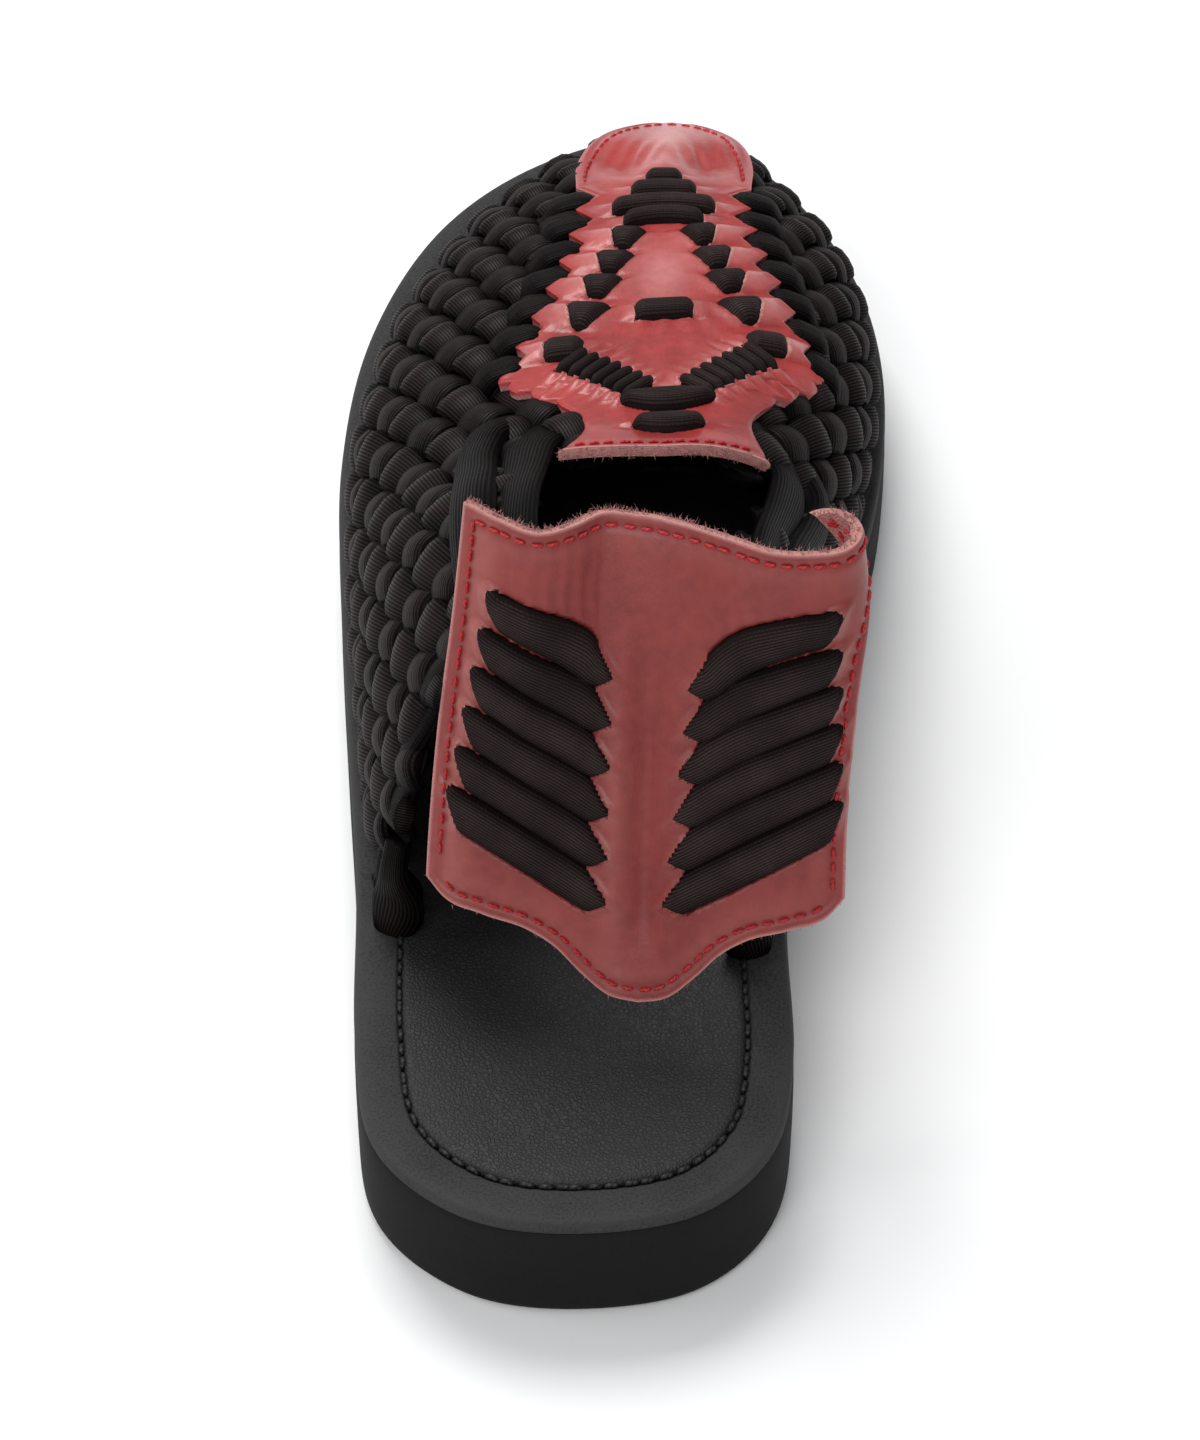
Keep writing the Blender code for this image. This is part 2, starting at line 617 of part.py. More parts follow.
class Shoe:
    """The shoe's collection, frame and finishes, and its builders."""

    def __init__(self):
        self.parts = bpy.data.collections.new("woven_sandal")
        self.cutters = bpy.data.collections.new("cutters")
        for collection in (self.parts, self.cutters):
            bpy.context.scene.collection.children.link(collection)
        self.frame = bpy.data.objects.new("shoe_frame", None)
        self.parts.objects.link(self.frame)
        self.foam = finish_of("black_foam", (0.016, 0.016, 0.017), 0.75)
        self.sheet = finish_of("charcoal_foam", (0.045, 0.046, 0.048), 0.8)
        self.sock = finish_of("black_leather", (0.014, 0.014, 0.015), 0.55)
        self.cord = finish_of("black_cord", (0.012, 0.011, 0.011), 0.6)
        self.red = finish_of("red_leather", (0.42, 0.05, 0.05), 0.35)
        self.dark_red = finish_of("dark_red_leather", (0.22, 0.035, 0.035), 0.45)

    def add(self, name, mesh, finish):
        """Put a mesh or a curve into the shoe's frame under its name and finish."""
        item = bpy.data.objects.new(name, mesh)
        item.parent = self.frame
        mesh.materials.append(finish)
        self.parts.objects.link(item)
        return item

    def soles(self):
        """Outsole with its tread grooves, midsole with its pocket, and insole."""
        under = MIDSOLE_THICK + GAP
        outsole = self.add("outsole", sole_loft("outsole", [
            sole_ring(TREAD_ROUND, tread_z),
            sole_ring(TREAD_EDGE_INSET, lambda y: tread_z(y) + TREAD_EDGE_RISE),
            sole_ring(0.0, lambda y: tread_z(y) + TREAD_ROUND),
            sole_ring(0.0, lambda y: bed_z(y) - under),
        ]), self.foam)
        firsts = [HEEL_GROOVE_FIRST + k * GROOVE_PITCH for k in range(HEEL_GROOVES)]
        firsts += [BALL_GROOVE_FIRST + k * GROOVE_PITCH for k in range(BALL_GROOVES)]
        for k, y in enumerate(firsts):
            form = bmesh.new()
            bmesh.ops.create_cube(form, size=1.0)
            bmesh.ops.scale(form, vec=(GROOVE_LONG, GROOVE_WIDE, 2 * GROOVE_DEEP), verts=form.verts)
            mesh = bpy.data.meshes.new(f"groove_{k}")
            form.to_mesh(mesh)
            form.free()
            cutter = bpy.data.objects.new(f"groove_{k}", mesh)
            cutter.location = (0.0, y, 0.0)
            cutter.parent = self.frame
            cutter.hide_render = True
            cutter.display_type = "WIRE"
            self.cutters.objects.link(cutter)
            cut = outsole.modifiers.new(f"groove_{k}", "BOOLEAN")
            cut.operation = "DIFFERENCE"
            cut.object = cutter
        self.add("midsole", sole_loft("midsole", [
            sole_ring(0.0, lambda y: bed_z(y) - MIDSOLE_THICK),
            sole_ring(0.0, lambda y: bed_z(y) - MIDSOLE_ROUND),
            sole_ring(MIDSOLE_ROUND, bed_z),
            sole_ring(POCKET_INSET, bed_z),
            sole_ring(POCKET_INSET, lambda y: bed_z(y) - POCKET_DEPTH),
        ]), self.sheet)
        self.add("insole", sole_loft("insole", [
            sole_ring(INSOLE_INSET, lambda y: bed_z(y) - POCKET_DEPTH + GAP),
            sole_ring(INSOLE_INSET, lambda y: bed_z(y) + INSOLE_PROUD - INSOLE_ROUND),
            sole_ring(INSOLE_INSET + INSOLE_ROUND, lambda y: bed_z(y) + INSOLE_PROUD),
            sole_ring(DISH_INSET, lambda y: bed_z(y) + INSOLE_PROUD - DISH_DEPTH),
        ]), self.sock)

    def weave(self):
        """The plaited wall: both sides and the top under the vamp, open at collar, throat and bottom."""
        shares = [-1.0 + 2.0 * c / WEAVE_COLUMNS for c in range(WEAVE_COLUMNS + 1)]
        rear = [rear_limit(share) for share in shares]

        def row_y(col, row):
            """The y of a row, crowded behind the throat."""
            if row <= QUARTER_ROWS:
                return rear[col] + (THROAT_Y - rear[col]) * row / QUARTER_ROWS
            return THROAT_Y + (WEAVE_FRONT_Y - THROAT_Y) * (row - QUARTER_ROWS) / FOREPART_ROWS

        def place(col, row):
            """A point of the wall's face, raised and sunk in turn and flat under the vamp."""
            y, share = row_y(col, row), shares[col]
            lift = WEAVE_VALLEY if (col + row) % 2 else WEAVE_PEAK
            across = arc_of_share(y, share)
            vamp_row = y - vamp_skew(y) * across
            beside = abs(across) - vamp_body_half(vamp_row)
            if max(beside, VAMP_REAR_Y - vamp_row) < WEAVE_VAMP_MARGIN:
                lift = WEAVE_UNDER_VAMP
            if col in (0, WEAVE_COLUMNS):
                lift = 0.0
            return lifted(by_share, y, share, lift)

        def keep(cells):
            """Whether a face lies outside the collar's opening."""
            inside = all(COLLAR_COLUMNS <= c <= WEAVE_COLUMNS - COLLAR_COLUMNS for c, _ in cells)
            return not (inside and all(r <= QUARTER_ROWS for _, r in cells))

        mesh = grid_mesh("upper_weave", WEAVE_COLUMNS, QUARTER_ROWS + FOREPART_ROWS, place, keep,
                         lambda cell: sum(cell) % 2 == 1)
        item = self.add("upper_weave", mesh, self.cord)
        add_solidify(item, WEAVE_THICK, -1)

    def vamp(self):
        """The vamp leather and the cord runs that show on it."""
        rows = np.linspace(VAMP_REAR_Y, VAMP_FRONT_Y, VAMP_ROWS + 1)

        def place(col, row):
            """A point of the leather's underside."""
            y = rows[row]
            across = (2.0 * col / VAMP_COLUMNS - 1.0) * vamp_half(y)
            return vamp_place(across, y, VAMP_SEAT)

        item = self.add("vamp", grid_mesh("vamp", VAMP_COLUMNS, VAMP_ROWS, place), self.red)
        add_solidify(item, VAMP_THICK, 1)
        seat = VAMP_SEAT + VAMP_THICK + GAP
        for name, in_x, in_y, out_x, out_y, width in VAMP_SIDE_BARS_MM:
            for side, sign in (("inner", 1.0), ("outer", -1.0)):
                title = f"vamp_bar_{name}_{side}"
                mesh = bar_mesh(title, vamp_place, (sign * in_x * MM, in_y * MM),
                                (sign * out_x * MM, out_y * MM), width * MM, CORD_HIGH, seat)
                self.add(title, mesh, self.cord)
        for name, half, y, width, bow in VAMP_CROSS_BARS_MM:
            title = f"vamp_bar_{name}"
            mesh = bar_mesh(title, vamp_place, (-half * MM, y * MM), (half * MM, y * MM),
                            width * MM, CORD_HIGH, seat, bow * MM)
            self.add(title, mesh, self.cord)

    def strap(self):
        """The heel strap and its chevron of cord runs."""
        hem_at, hem = column(STRAP_HEM_MM, 0), column(STRAP_HEM_MM, 1)

        def place(col, row):
            """A point of the panel's middle surface."""
            u, v = 2.0 * col / STRAP_COLUMNS - 1.0, row / STRAP_ROWS
            low = float(smooth(abs(u) * hem_at[-1], hem_at, hem))
            height = low + (STRAP_TALL - low) * v
            halves = column(STRAP_SIDES_MM, 1 if u < 0 else 2)
            half = float(smooth(height, column(STRAP_SIDES_MM, 0), halves))
            return strap_point(u * half, height)

        mesh = grid_mesh("heel_strap", STRAP_COLUMNS, STRAP_ROWS, place)
        item = self.add("heel_strap", mesh, self.dark_red)
        add_solidify(item, STRAP_THICK, 0)
        seat = STRAP_THICK / 2 + STRAP_BAR_SEAT
        for side, *ends in STRAP_BARS_MM:
            first, last = np.array(ends).reshape(2, 2, 2) * MM
            for k in range(STRAP_BARS):
                outer, inner = first + (last - first) * k / (STRAP_BARS - 1)
                title = f"strap_bar_{k + 1}_{side}"
                mesh = bar_mesh(title, strap_lifted, outer, inner, STRAP_BAR_WIDE, CORD_HIGH, seat)
                self.add(title, mesh, self.cord)

    def anchors(self):
        """Cords from slots beside the insole up to the rear edge of the plaited wall."""
        for side, edge, sign in (("inner", INNER_EDGE, 1.0), ("outer", OUTER_EDGE, -1.0)):
            shares = np.linspace(*ANCHOR_RIM_SHARES, ANCHOR_RIM_STEPS) * sign
            rim = np.array([lifted(by_share, rear_limit(s), s, -WEAVE_THICK / 2) for s in shares])
            rim = rim[: int(np.argmin(rim[:, 1])) + 1]
            for name, slot_y in ANCHORS_MM:
                foot = edge.at_y(slot_y * MM, ANCHOR_INSET)
                foot_z = float(bed_z(foot[1])) + GAP
                under = -(foot[1] + ANCHOR_RADIUS)
                top_x, top_z = (np.interp(under, -rim[:, 1], rim[:, k]) for k in (0, 2))
                start = np.array([foot[0], foot[1], foot_z])
                end = np.array([top_x, foot[1], top_z - ANCHOR_SEAT])
                lift = np.array([0.0, 0.0, (end[2] - foot_z) / 3])
                lean_in, lean_out = start + lift, end - lift
                curve = bpy.data.curves.new(f"anchor_cord_{name}_{side}", "CURVE")
                curve.dimensions = "3D"
                curve.bevel_depth = ANCHOR_RADIUS
                curve.bevel_resolution = 2
                curve.use_fill_caps = True
                steps = np.linspace(0.0, 1.0, ANCHOR_STEPS)[:, None]
                path = ((1 - steps) ** 3 * start + 3 * (1 - steps) ** 2 * steps * lean_in
                        + 3 * (1 - steps) * steps**2 * lean_out + steps**3 * end)
                spline = curve.splines.new("POLY")
                spline.points.add(len(path) - 1)
                for point, place in zip(spline.points, path):
                    point.co = (*place, 1.0)
                self.add(curve.name, curve, self.cord)

    def settle(self):
        """Bring the middle of the shoe's box over the origin."""
        bpy.context.view_layer.update()
        graph = bpy.context.evaluated_depsgraph_get()
        low, high = np.full(3, np.inf), np.full(3, -np.inf)
        for item in self.parts.objects:
            if item.type == "EMPTY":
                continue
            seen = item.evaluated_get(graph)
            corners = np.array([seen.matrix_world @ v.co for v in seen.to_mesh().vertices])
            low, high = np.minimum(low, corners.min(axis=0)), np.maximum(high, corners.max(axis=0))
            seen.to_mesh_clear()
        middle = (low + high) / 2
        self.frame.location = (-middle[0], -middle[1], -low[2])


def main():
    """Build the shoe."""
    for item in list(bpy.data.objects):
        bpy.data.objects.remove(item, do_unlink=True)
    shoe = Shoe()
    shoe.soles()
    shoe.weave()
    shoe.vamp()
    shoe.strap()
    shoe.anchors()
    shoe.settle()


if __name__ == "__main__":
    main()
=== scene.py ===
"""Looks of a woven cord and leather sandal, the left shoe of its pair.

Sizes are in millimetres in the last's own coordinates: +Y to the toe, +X to the inner side, +Z up.
"""

import logging
import math
from collections.abc import Callable
from dataclasses import dataclass
from enum import Enum

import bmesh
import bpy
import numpy as np
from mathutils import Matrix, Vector


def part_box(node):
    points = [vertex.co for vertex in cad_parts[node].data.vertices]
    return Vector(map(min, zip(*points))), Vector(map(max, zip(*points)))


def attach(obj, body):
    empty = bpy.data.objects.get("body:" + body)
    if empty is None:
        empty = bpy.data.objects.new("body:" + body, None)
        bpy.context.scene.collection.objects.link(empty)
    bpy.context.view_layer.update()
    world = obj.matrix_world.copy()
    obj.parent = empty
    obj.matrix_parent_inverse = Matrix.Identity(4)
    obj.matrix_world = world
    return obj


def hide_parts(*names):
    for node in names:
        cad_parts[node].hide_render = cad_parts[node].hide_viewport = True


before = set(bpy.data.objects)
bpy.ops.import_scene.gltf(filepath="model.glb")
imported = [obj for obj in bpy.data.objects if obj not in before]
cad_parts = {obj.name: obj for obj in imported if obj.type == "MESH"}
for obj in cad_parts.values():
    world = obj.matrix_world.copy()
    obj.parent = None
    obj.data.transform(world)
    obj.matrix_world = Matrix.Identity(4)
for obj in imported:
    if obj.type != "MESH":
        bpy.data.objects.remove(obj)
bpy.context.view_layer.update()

LOG = logging.getLogger("woven_sandal")
MM = 0.001
BODY = "root"
SEED = 11
Array = np.ndarray
Colour = tuple[float, float, float]
Point = tuple[float, float, float]
Spot = tuple[float, float]

# Once round the top of the sole, from the back of the heel along the inner side
SOLE_EDGE = (
    # x, y
    (0.0, -142.0),
    (22.3, -136.5),
    (35.2, -121.5),
    (37.8, -100.0),
    (35.0, -68.0),
    (34.8, -34.0),
    (39.8, 5.0),
    (46.6, 46.0),
    (46.2, 82.0),
    (38.0, 110.0),
    (20.8, 132.6),
    (1.0, 142.0),
    (-24.6, 133.2),
    (-44.4, 113.8),
    (-55.6, 83.6),
    (-57.8, 48.0),
    (-54.0, 10.0),
    (-49.0, -28.0),
    (-44.0, -65.0),
    (-40.8, -101.0),
    (-35.2, -125.0),
    (-19.5, -139.0),
)
TOE_TIP_ROW = 11
SOLE_PROFILE = (
    # y, top of the midsole, tread
    (-142.0, 25.5, 0.0),
    (-80.0, 25.3, 0.0),
    (-20.0, 23.0, 0.0),
    (40.0, 20.8, 0.0),
    (85.0, 21.4, 0.0),
    (115.0, 23.8, 2.0),
    (142.0, 27.5, 6.0),
)

# The last: each section springs from both edges of the sole and meets at a ridge over the foot
LAST_SECTIONS = (
    # y on the sole's edge, inset outer, inset inner, ridge x, ridge y, ridge z, fullness, bulge
    (-90.0, 5.6, 4.2, 8.5, -112.0, 113.0, 1.8, 0.6),
    (-56.0, 4.6, 4.2, 8.5, -80.0, 108.5, 1.85, 1.2),
    (-36.0, 4.2, 4.2, 8.5, -54.0, 103.5, 2.0, 2.0),
    (-20.0, 4.2, 4.2, 8.5, -32.0, 95.5, 2.15, 2.6),
    (-4.0, 4.2, 4.2, 8.5, -12.0, 83.0, 2.3, 2.8),
    (8.0, 4.2, 4.2, 8.2, 4.5, 73.0, 2.4, 2.8),
    (24.0, 4.6, 4.2, 7.0, 22.0, 66.8, 2.5, 2.6),
    (44.0, 5.8, 4.2, 5.2, 43.0, 61.5, 2.5, 2.4),
    (64.0, 7.6, 4.2, 3.8, 63.0, 56.6, 2.45, 2.0),
    (84.0, 9.4, 4.4, 2.5, 83.0, 51.6, 2.35, 1.6),
    (104.0, 10.6, 4.8, 1.4, 102.0, 46.0, 2.25, 1.2),
    (118.0, 10.4, 5.0, 0.8, 115.0, 41.2, 2.15, 0.8),
    (130.0, 7.0, 4.0, 0.8, 127.0, 36.0, 2.05, 0.5),
    (138.0, 3.0, 2.0, 1.0, 136.0, 31.4, 2.0, 0.2),
    (141.9, 1.0, 1.0, 1.0, 140.6, 28.6, 2.0, 0.0),
)

# Vamp leather: half width and skew of its rows towards the toe on the inner side
VAMP_ROWS = (
    # row, half width, skew
    (2.0, 19.5, 0.20),
    (8.0, 16.6, 0.20),
    (14.0, 15.2, 0.20),
    (20.0, 17.5, 0.20),
    (27.0, 24.5, 0.20),
    (34.0, 31.0, 0.20),
    (44.0, 28.6, 0.20),
    (54.0, 25.6, 0.20),
    (66.0, 22.4, 0.20),
    (84.0, 18.4, 0.19),
    (96.0, 17.0, 0.14),
    (108.0, 17.0, 0.10),
    (121.5, 17.5, 0.05),
    (142.0, 17.5, 0.0),
)
VAMP_SIDE_RUNS = (
    # name, inner end across and row, outer end across and row, width, share cut off towards the heel
    ("side_1", 3.8, 80.4, 10.6, 81.8, 7.0, 0.62),
    ("side_2", 6.0, 71.4, 13.4, 72.8, 7.0, 0.62),
    ("side_3", 8.2, 62.6, 16.0, 64.0, 7.2, 0.62),
    ("side_4", 10.8, 51.6, 19.2, 53.8, 8.8, 0.74),
    ("corner", 15.6, 41.4, 22.4, 41.8, 6.6, 0.05),
)
VAMP_CHEVRON_RUNS = (
    # name, middle of the first cord across and row, middle of the last cord, number of cords
    ("chevron_1", (17.4, 36.8), (13.2, 33.0), 3),
    ("chevron_2", (11.2, 31.1), (9.2, 29.1), 2),
    ("chevron_3", (7.3, 27.2), (5.5, 25.3), 2),
)
VAMP_CROSS_RUNS = (
    # name, half length, row, width, bow of the middle towards the toe
    ("toe_1", 3.2, 107.0, 5.0, 0.0),
    ("toe_2", 6.0, 101.0, 5.2, 0.4),
    ("toe_3", 9.6, 93.7, 5.2, 1.6),
    ("toe_4", 7.4, 88.0, 4.6, 1.8),
    ("middle", 5.2, 53.0, 6.0, 0.0),
    ("lens_1", 8.6, 21.4, 6.6, -0.6),
    ("lens_2", 6.6, 11.6, 6.0, 0.0),
)

# Heel strap
STRAP_SIDES = (
    # height, half width outer, half width inner
    (-18.0, 38.5, 36.0),
    (0.0, 38.5, 36.0),
    (30.0, 36.8, 36.4),
    (52.0, 34.4, 39.6),
    (72.0, 32.6, 50.0),
)
STRAP_SWAY = (
    # across from the middle, backward sway of the top edge
    (-42.0, 0.0),
    (-33.0, -1.4),
    (-26.0, -4.8),
    (-19.0, -7.0),
    (-13.5, -4.2),
    (-9.5, -1.0),
    (-2.0, -0.6),
    (8.0, -3.2),
    (15.0, -6.2),
    (22.0, -9.2),
    (29.0, -9.8),
    (36.0, -9.2),
    (52.0, -9.2),
)
STRAP_HEM = (
    # across from the middle, height of the lower edge
    (0.0, -18.0),
    (6.0, -16.8),
    (11.0, -13.2),
    (16.0, -8.8),
    (21.0, -6.2),
    (30.0, -4.2),
    (38.0, -1.6),
    (41.0, 1.5),
)
STRAP_RUNS = (
    # side, upper run: outer end across and height, inner end; lower run: the same; bow of each run
    ("outer", (-26.8, 54.5), (-10.0, 44.6), (-33.8, 15.3), (-10.2, 2.8), (2.2, 1.4, 1.1, 1.0, 0.9, 0.6)),
    ("inner", (32.4, 56.4), (11.8, 44.2), (33.8, 17.5), (8.0, 3.2), (2.9, 1.6, 1.2, 1.0, 0.7, 0.0)),
)

# Rear edge of the plaited wall, by share of the way down from the ridge of the last
WALL_REAR = (
    # share, y outer, y inner
    (0.20, -44.0, -46.0),
    (0.40, -50.5, -57.5),
    (0.70, -70.5, -75.5),
    (1.00, -58.0, -58.0),
)

# Thick strands round the throat, from under the vamp's neck back to the strap
COLLAR_ROUTES = (
    # side, places: across from the ridge and y
    ("outer", ((-12.0, 21.0), (-19.0, 17.0), (-24.5, 8.0), (-26.0, -6.0), (-26.0, -24.0), (-25.0, -43.0))),
    ("outer", ((-13.0, 22.0), (-22.0, 19.5), (-31.5, 14.5), (-35.0, 4.0), (-35.0, -12.0), (-33.5, -45.0))),
    ("inner", ((12.0, 22.0), (19.0, 18.0), (25.0, 8.0), (28.0, -6.0), (29.0, -24.0), (29.0, -47.0))),
    ("inner", ((13.0, 23.0), (22.0, 21.0), (31.0, 15.0), (36.0, 4.0), (37.5, -12.0), (38.0, -52.0))),
)

LAMPS = (
    # name, place in metres, side in metres, power in watts
    ("key", (-0.3, 0.75, 1.3), 0.8, 19.0),
    ("fill", (-0.2, -1.2, 1.3), 1.0, 13.0),
    ("side", (-1.2, -0.1, 0.9), 0.6, 3.0),
)


def stand(name: str, data: bpy.types.ID) -> bpy.types.Object:
    """A new object in the scene.

    Args:
        name: The object's name.
        data: Its mesh, camera or light.

    Returns:
        The object.
    """
    item = bpy.data.objects.new(name, data)
    bpy.context.scene.collection.objects.link(item)
    return item


def mesh_of(name: str, form: bmesh.types.BMesh) -> bpy.types.Mesh:
    """A mesh from an editing form, which is let go.

    Args:
        name: The mesh's name.
        form: The form.

    Returns:
        The mesh.
    """
    mesh = bpy.data.meshes.new(name)
    form.to_mesh(mesh)
    form.free()
    return mesh


class Side(Enum):
    """The two sides of the shoe, by the sign of their x."""

    OUTER = -1.0
    INNER = 1.0

    @property
    def word(self) -> str:
        """The side's name in piece names."""
        return self.name.lower()


class Slot(Enum):
    """The record's material slots."""

    OUTSOLE = "outsole_foam"
    MIDSOLE = "midsole_foam"
    INSOLE = "insole_leather"
    VAMP = "vamp_leather"
    STRAP = "strap_leather"
    CORD = "cord"


def column(table: tuple, index: int) -> Array:
    """One column of a table."""
    return np.array([row[index] for row in table], dtype=float)


def smooth(at: Array | float, knots: Array, values: Array) -> Array:
    """Read values along a table through a smooth curve.

    Args:
        at: Places along the table.
        knots: The table's own places, rising.
        values: The table's values at its places.

    Returns:
        The values at the places asked for, held at both ends.
    """
    slopes = np.gradient(values, knots)
    at = np.clip(at, knots[0], knots[-1])
    left = np.clip(np.searchsorted(knots, at, side="right") - 1, 0, len(knots) - 2)
    step = knots[left + 1] - knots[left]
    u = (at - knots[left]) / step
    return (
        values[left] * (2 * u**3 - 3 * u**2 + 1)
        + slopes[left] * step * (u**3 - 2 * u**2 + u)
        + values[left + 1] * (3 * u**2 - 2 * u**3)
        + slopes[left + 1] * step * (u**3 - u**2)
    )


def ease(share: Array) -> Array:
    """A soft step from 0 to 1 over a share from 0 to 1."""
    share = np.clip(share, 0.0, 1.0)
    return share * share * (3.0 - 2.0 * share)


def bell(distance: Array, spread: Array | float) -> Array:
    """A soft bump of height 1 at distance 0."""
    return np.exp(-((distance / spread) ** 2))


def squared(wave: Array, power: float) -> Array:
    """A sine or cosine made squarer by a power below 1, its sign kept."""
    return np.sign(wave) * np.abs(wave) ** power


def unit(vectors: Array) -> Array:
    """Vectors scaled to length 1."""
    return vectors / np.maximum(np.linalg.norm(vectors, axis=-1, keepdims=True), 1e-9)


def run_length(points: Array) -> Array:
    """Length run along a line of points, from 0."""
    return np.concatenate([[0.0], np.cumsum(np.linalg.norm(np.diff(points, axis=0), axis=1))])


def smooth_line(points: tuple, count: int) -> Array:
    """A smooth line through a few points, with its places spread evenly.

    Args:
        points: The points that the line goes through.
        count: Number of places on the line.

    Returns:
        The line's places, one a row.
    """
    knots = np.array(points, dtype=float)
    at = run_length(knots)
    dense = np.linspace(0.0, at[-1], 12 * count)
    line = np.stack([smooth(dense, at, knots[:, k]) for k in range(knots.shape[1])], axis=1)
    run = run_length(line)
    even = np.linspace(0.0, run[-1], count)
    return np.stack([np.interp(even, run, line[:, k]) for k in range(knots.shape[1])], axis=1)


class Surface:
    """A smooth form read from a dense grid of points over two coordinates."""

    def __init__(self, first: Array, second: Array, grid: Array) -> None:
        """Keep the two axes and the points over them.

        Args:
            first: Even steps of the first coordinate.
            second: Even steps of the second coordinate.
            grid: A point for each pair of steps.
        """
        self.first = first
        self.second = second
        self.grid = grid

    def at(self, a: Array, b: Array) -> Array:
        """Points of the form at two coordinates.

        Args:
            a: First coordinate.
            b: Second coordinate.

        Returns:
            Points, with x, y and z last.
        """
        a, b = np.broadcast_arrays(np.asarray(a, dtype=float), np.asarray(b, dtype=float))
        cells, shares = [], []
        for value, axis in ((a, self.first), (b, self.second)):
            place = np.clip((value - axis[0]) / (axis[1] - axis[0]), 0.0, len(axis) - 1.001)
            cells.append(place.astype(int))
            shares.append((place - cells[-1])[..., None])
        (i, j), (u, v) = cells, shares
        low = self.grid[i, j] * (1 - u) + self.grid[i + 1, j] * u
        high = self.grid[i, j + 1] * (1 - u) + self.grid[i + 1, j + 1] * u
        return low * (1 - v) + high * v

    def normal(self, a: Array, b: Array) -> Array:
        """Outward normals of the form at two coordinates.

        Args:
            a: First coordinate.
            b: Second coordinate.

        Returns:
            Vectors of length 1.
        """
        a, b = np.broadcast_arrays(np.asarray(a, dtype=float), np.asarray(b, dtype=float))
        step_a = 1.5 * (self.first[1] - self.first[0])
        step_b = 1.5 * (self.second[1] - self.second[0])
        b = np.clip(b, self.second[0] + step_b, self.second[-1] - step_b)
        across = self.at(a + step_a, b) - self.at(a - step_a, b)
        along = self.at(a, b + step_b) - self.at(a, b - step_b)
        return unit(np.cross(across, along))

    def lifted(self, a: Array, b: Array, offset: Array | float) -> Array:
        """Points off the form along its outward normals."""
        return self.at(a, b) + self.normal(a, b) * np.asarray(offset)[..., None]


class SoleForm:
    """The sole's edge and heights."""

    steps = 24

    def __init__(self) -> None:
        """Lay the smooth edge through its points and split it at heel back and toe tip."""
        points = np.array(SOLE_EDGE)
        before, after, beyond = (np.roll(points, k, axis=0) for k in (1, -1, -2))
        u = np.linspace(0.0, 1.0, self.steps, endpoint=False)[None, :, None]
        p0, p1, p2, p3 = (row[:, None, :] for row in (before, points, after, beyond))
        curve = 0.5 * (
            2 * p1 + (p2 - p0) * u + (2 * p0 - 5 * p1 + 4 * p2 - p3) * u**2
            + (3 * p1 - p0 - 3 * p2 + p3) * u**3
        )
        curve = curve.reshape(-1, 2)
        toe = TOE_TIP_ROW * self.steps
        self.low = curve.min(axis=0)
        self.edges = {
            Side.INNER: curve[: toe + 1],
            Side.OUTER: np.concatenate([curve[:1], curve[: toe - 1 : -1]]),
        }

    def edge(self, side: Side, share: Array, inset: Array | float) -> Array:
        """Places along one side of the edge, moved inward.

        Args:
            side: The side.
            share: Share of the side's length from heel back to toe tip.
            inset: Distance moved inward.

        Returns:
            x and y of each place.
        """
        line = self.edges[side]
        run = run_length(line) / run_length(line)[-1]
        along = unit(np.gradient(line, axis=0))
        inward = side.value * np.stack([-along[:, 1], along[:, 0]], axis=1)
        place = np.stack([np.interp(share, run, line[:, k]) for k in (0, 1)], axis=-1)
        turn = np.stack([np.interp(share, run, inward[:, k]) for k in (0, 1)], axis=-1)
        return place + np.asarray(inset)[..., None] * unit(turn)

    def edge_at_y(self, side: Side, y: float, inset: float) -> Array:
        """A place on one side of the edge, moved inward.

        Args:
            side: The side.
            y: The place's y on the edge.
            inset: Distance moved inward.

        Returns:
            x and y of the place.
        """
        line = self.edges[side]
        share = np.interp(y, line[:, 1], run_length(line)) / run_length(line)[-1]
        return self.edge(side, share, inset)

    def ring(self, count: int, inset: float, wall_room: float = 0.0) -> Array:
        """Places once round the sole at an inset, drawn further in beside the plaited wall.

        Args:
            count: Places on each side.
            inset: Distance in from the edge.
            wall_room: Further inset beside the wall.

        Returns:
            x and y of each place.
        """
        even = np.linspace(0.0, 1.0, count + 1)
        share = 0.55 * even + 0.45 * (0.5 - 0.5 * np.cos(math.pi * even))
        sides = []
        for side, part in ((Side.INNER, share), (Side.OUTER, share[-2:0:-1])):
            rim_y = self.edge(side, part, 0.0)[:, 1]
            narrow = wall_room * np.clip((rim_y + 66.0) / 40.0, 0.0, 1.0)
            sides.append(self.edge(side, part, inset + narrow))
        return np.concatenate(sides)

    @staticmethod
    def bed(y: Array | float) -> Array:
        """Height of the top of the midsole."""
        return smooth(y, column(SOLE_PROFILE, 0), column(SOLE_PROFILE, 1))

    @staticmethod
    def tread(y: Array | float) -> Array:
        """Height of the tread."""
        return np.maximum(smooth(y, column(SOLE_PROFILE, 0), column(SOLE_PROFILE, 2)), 0.0)


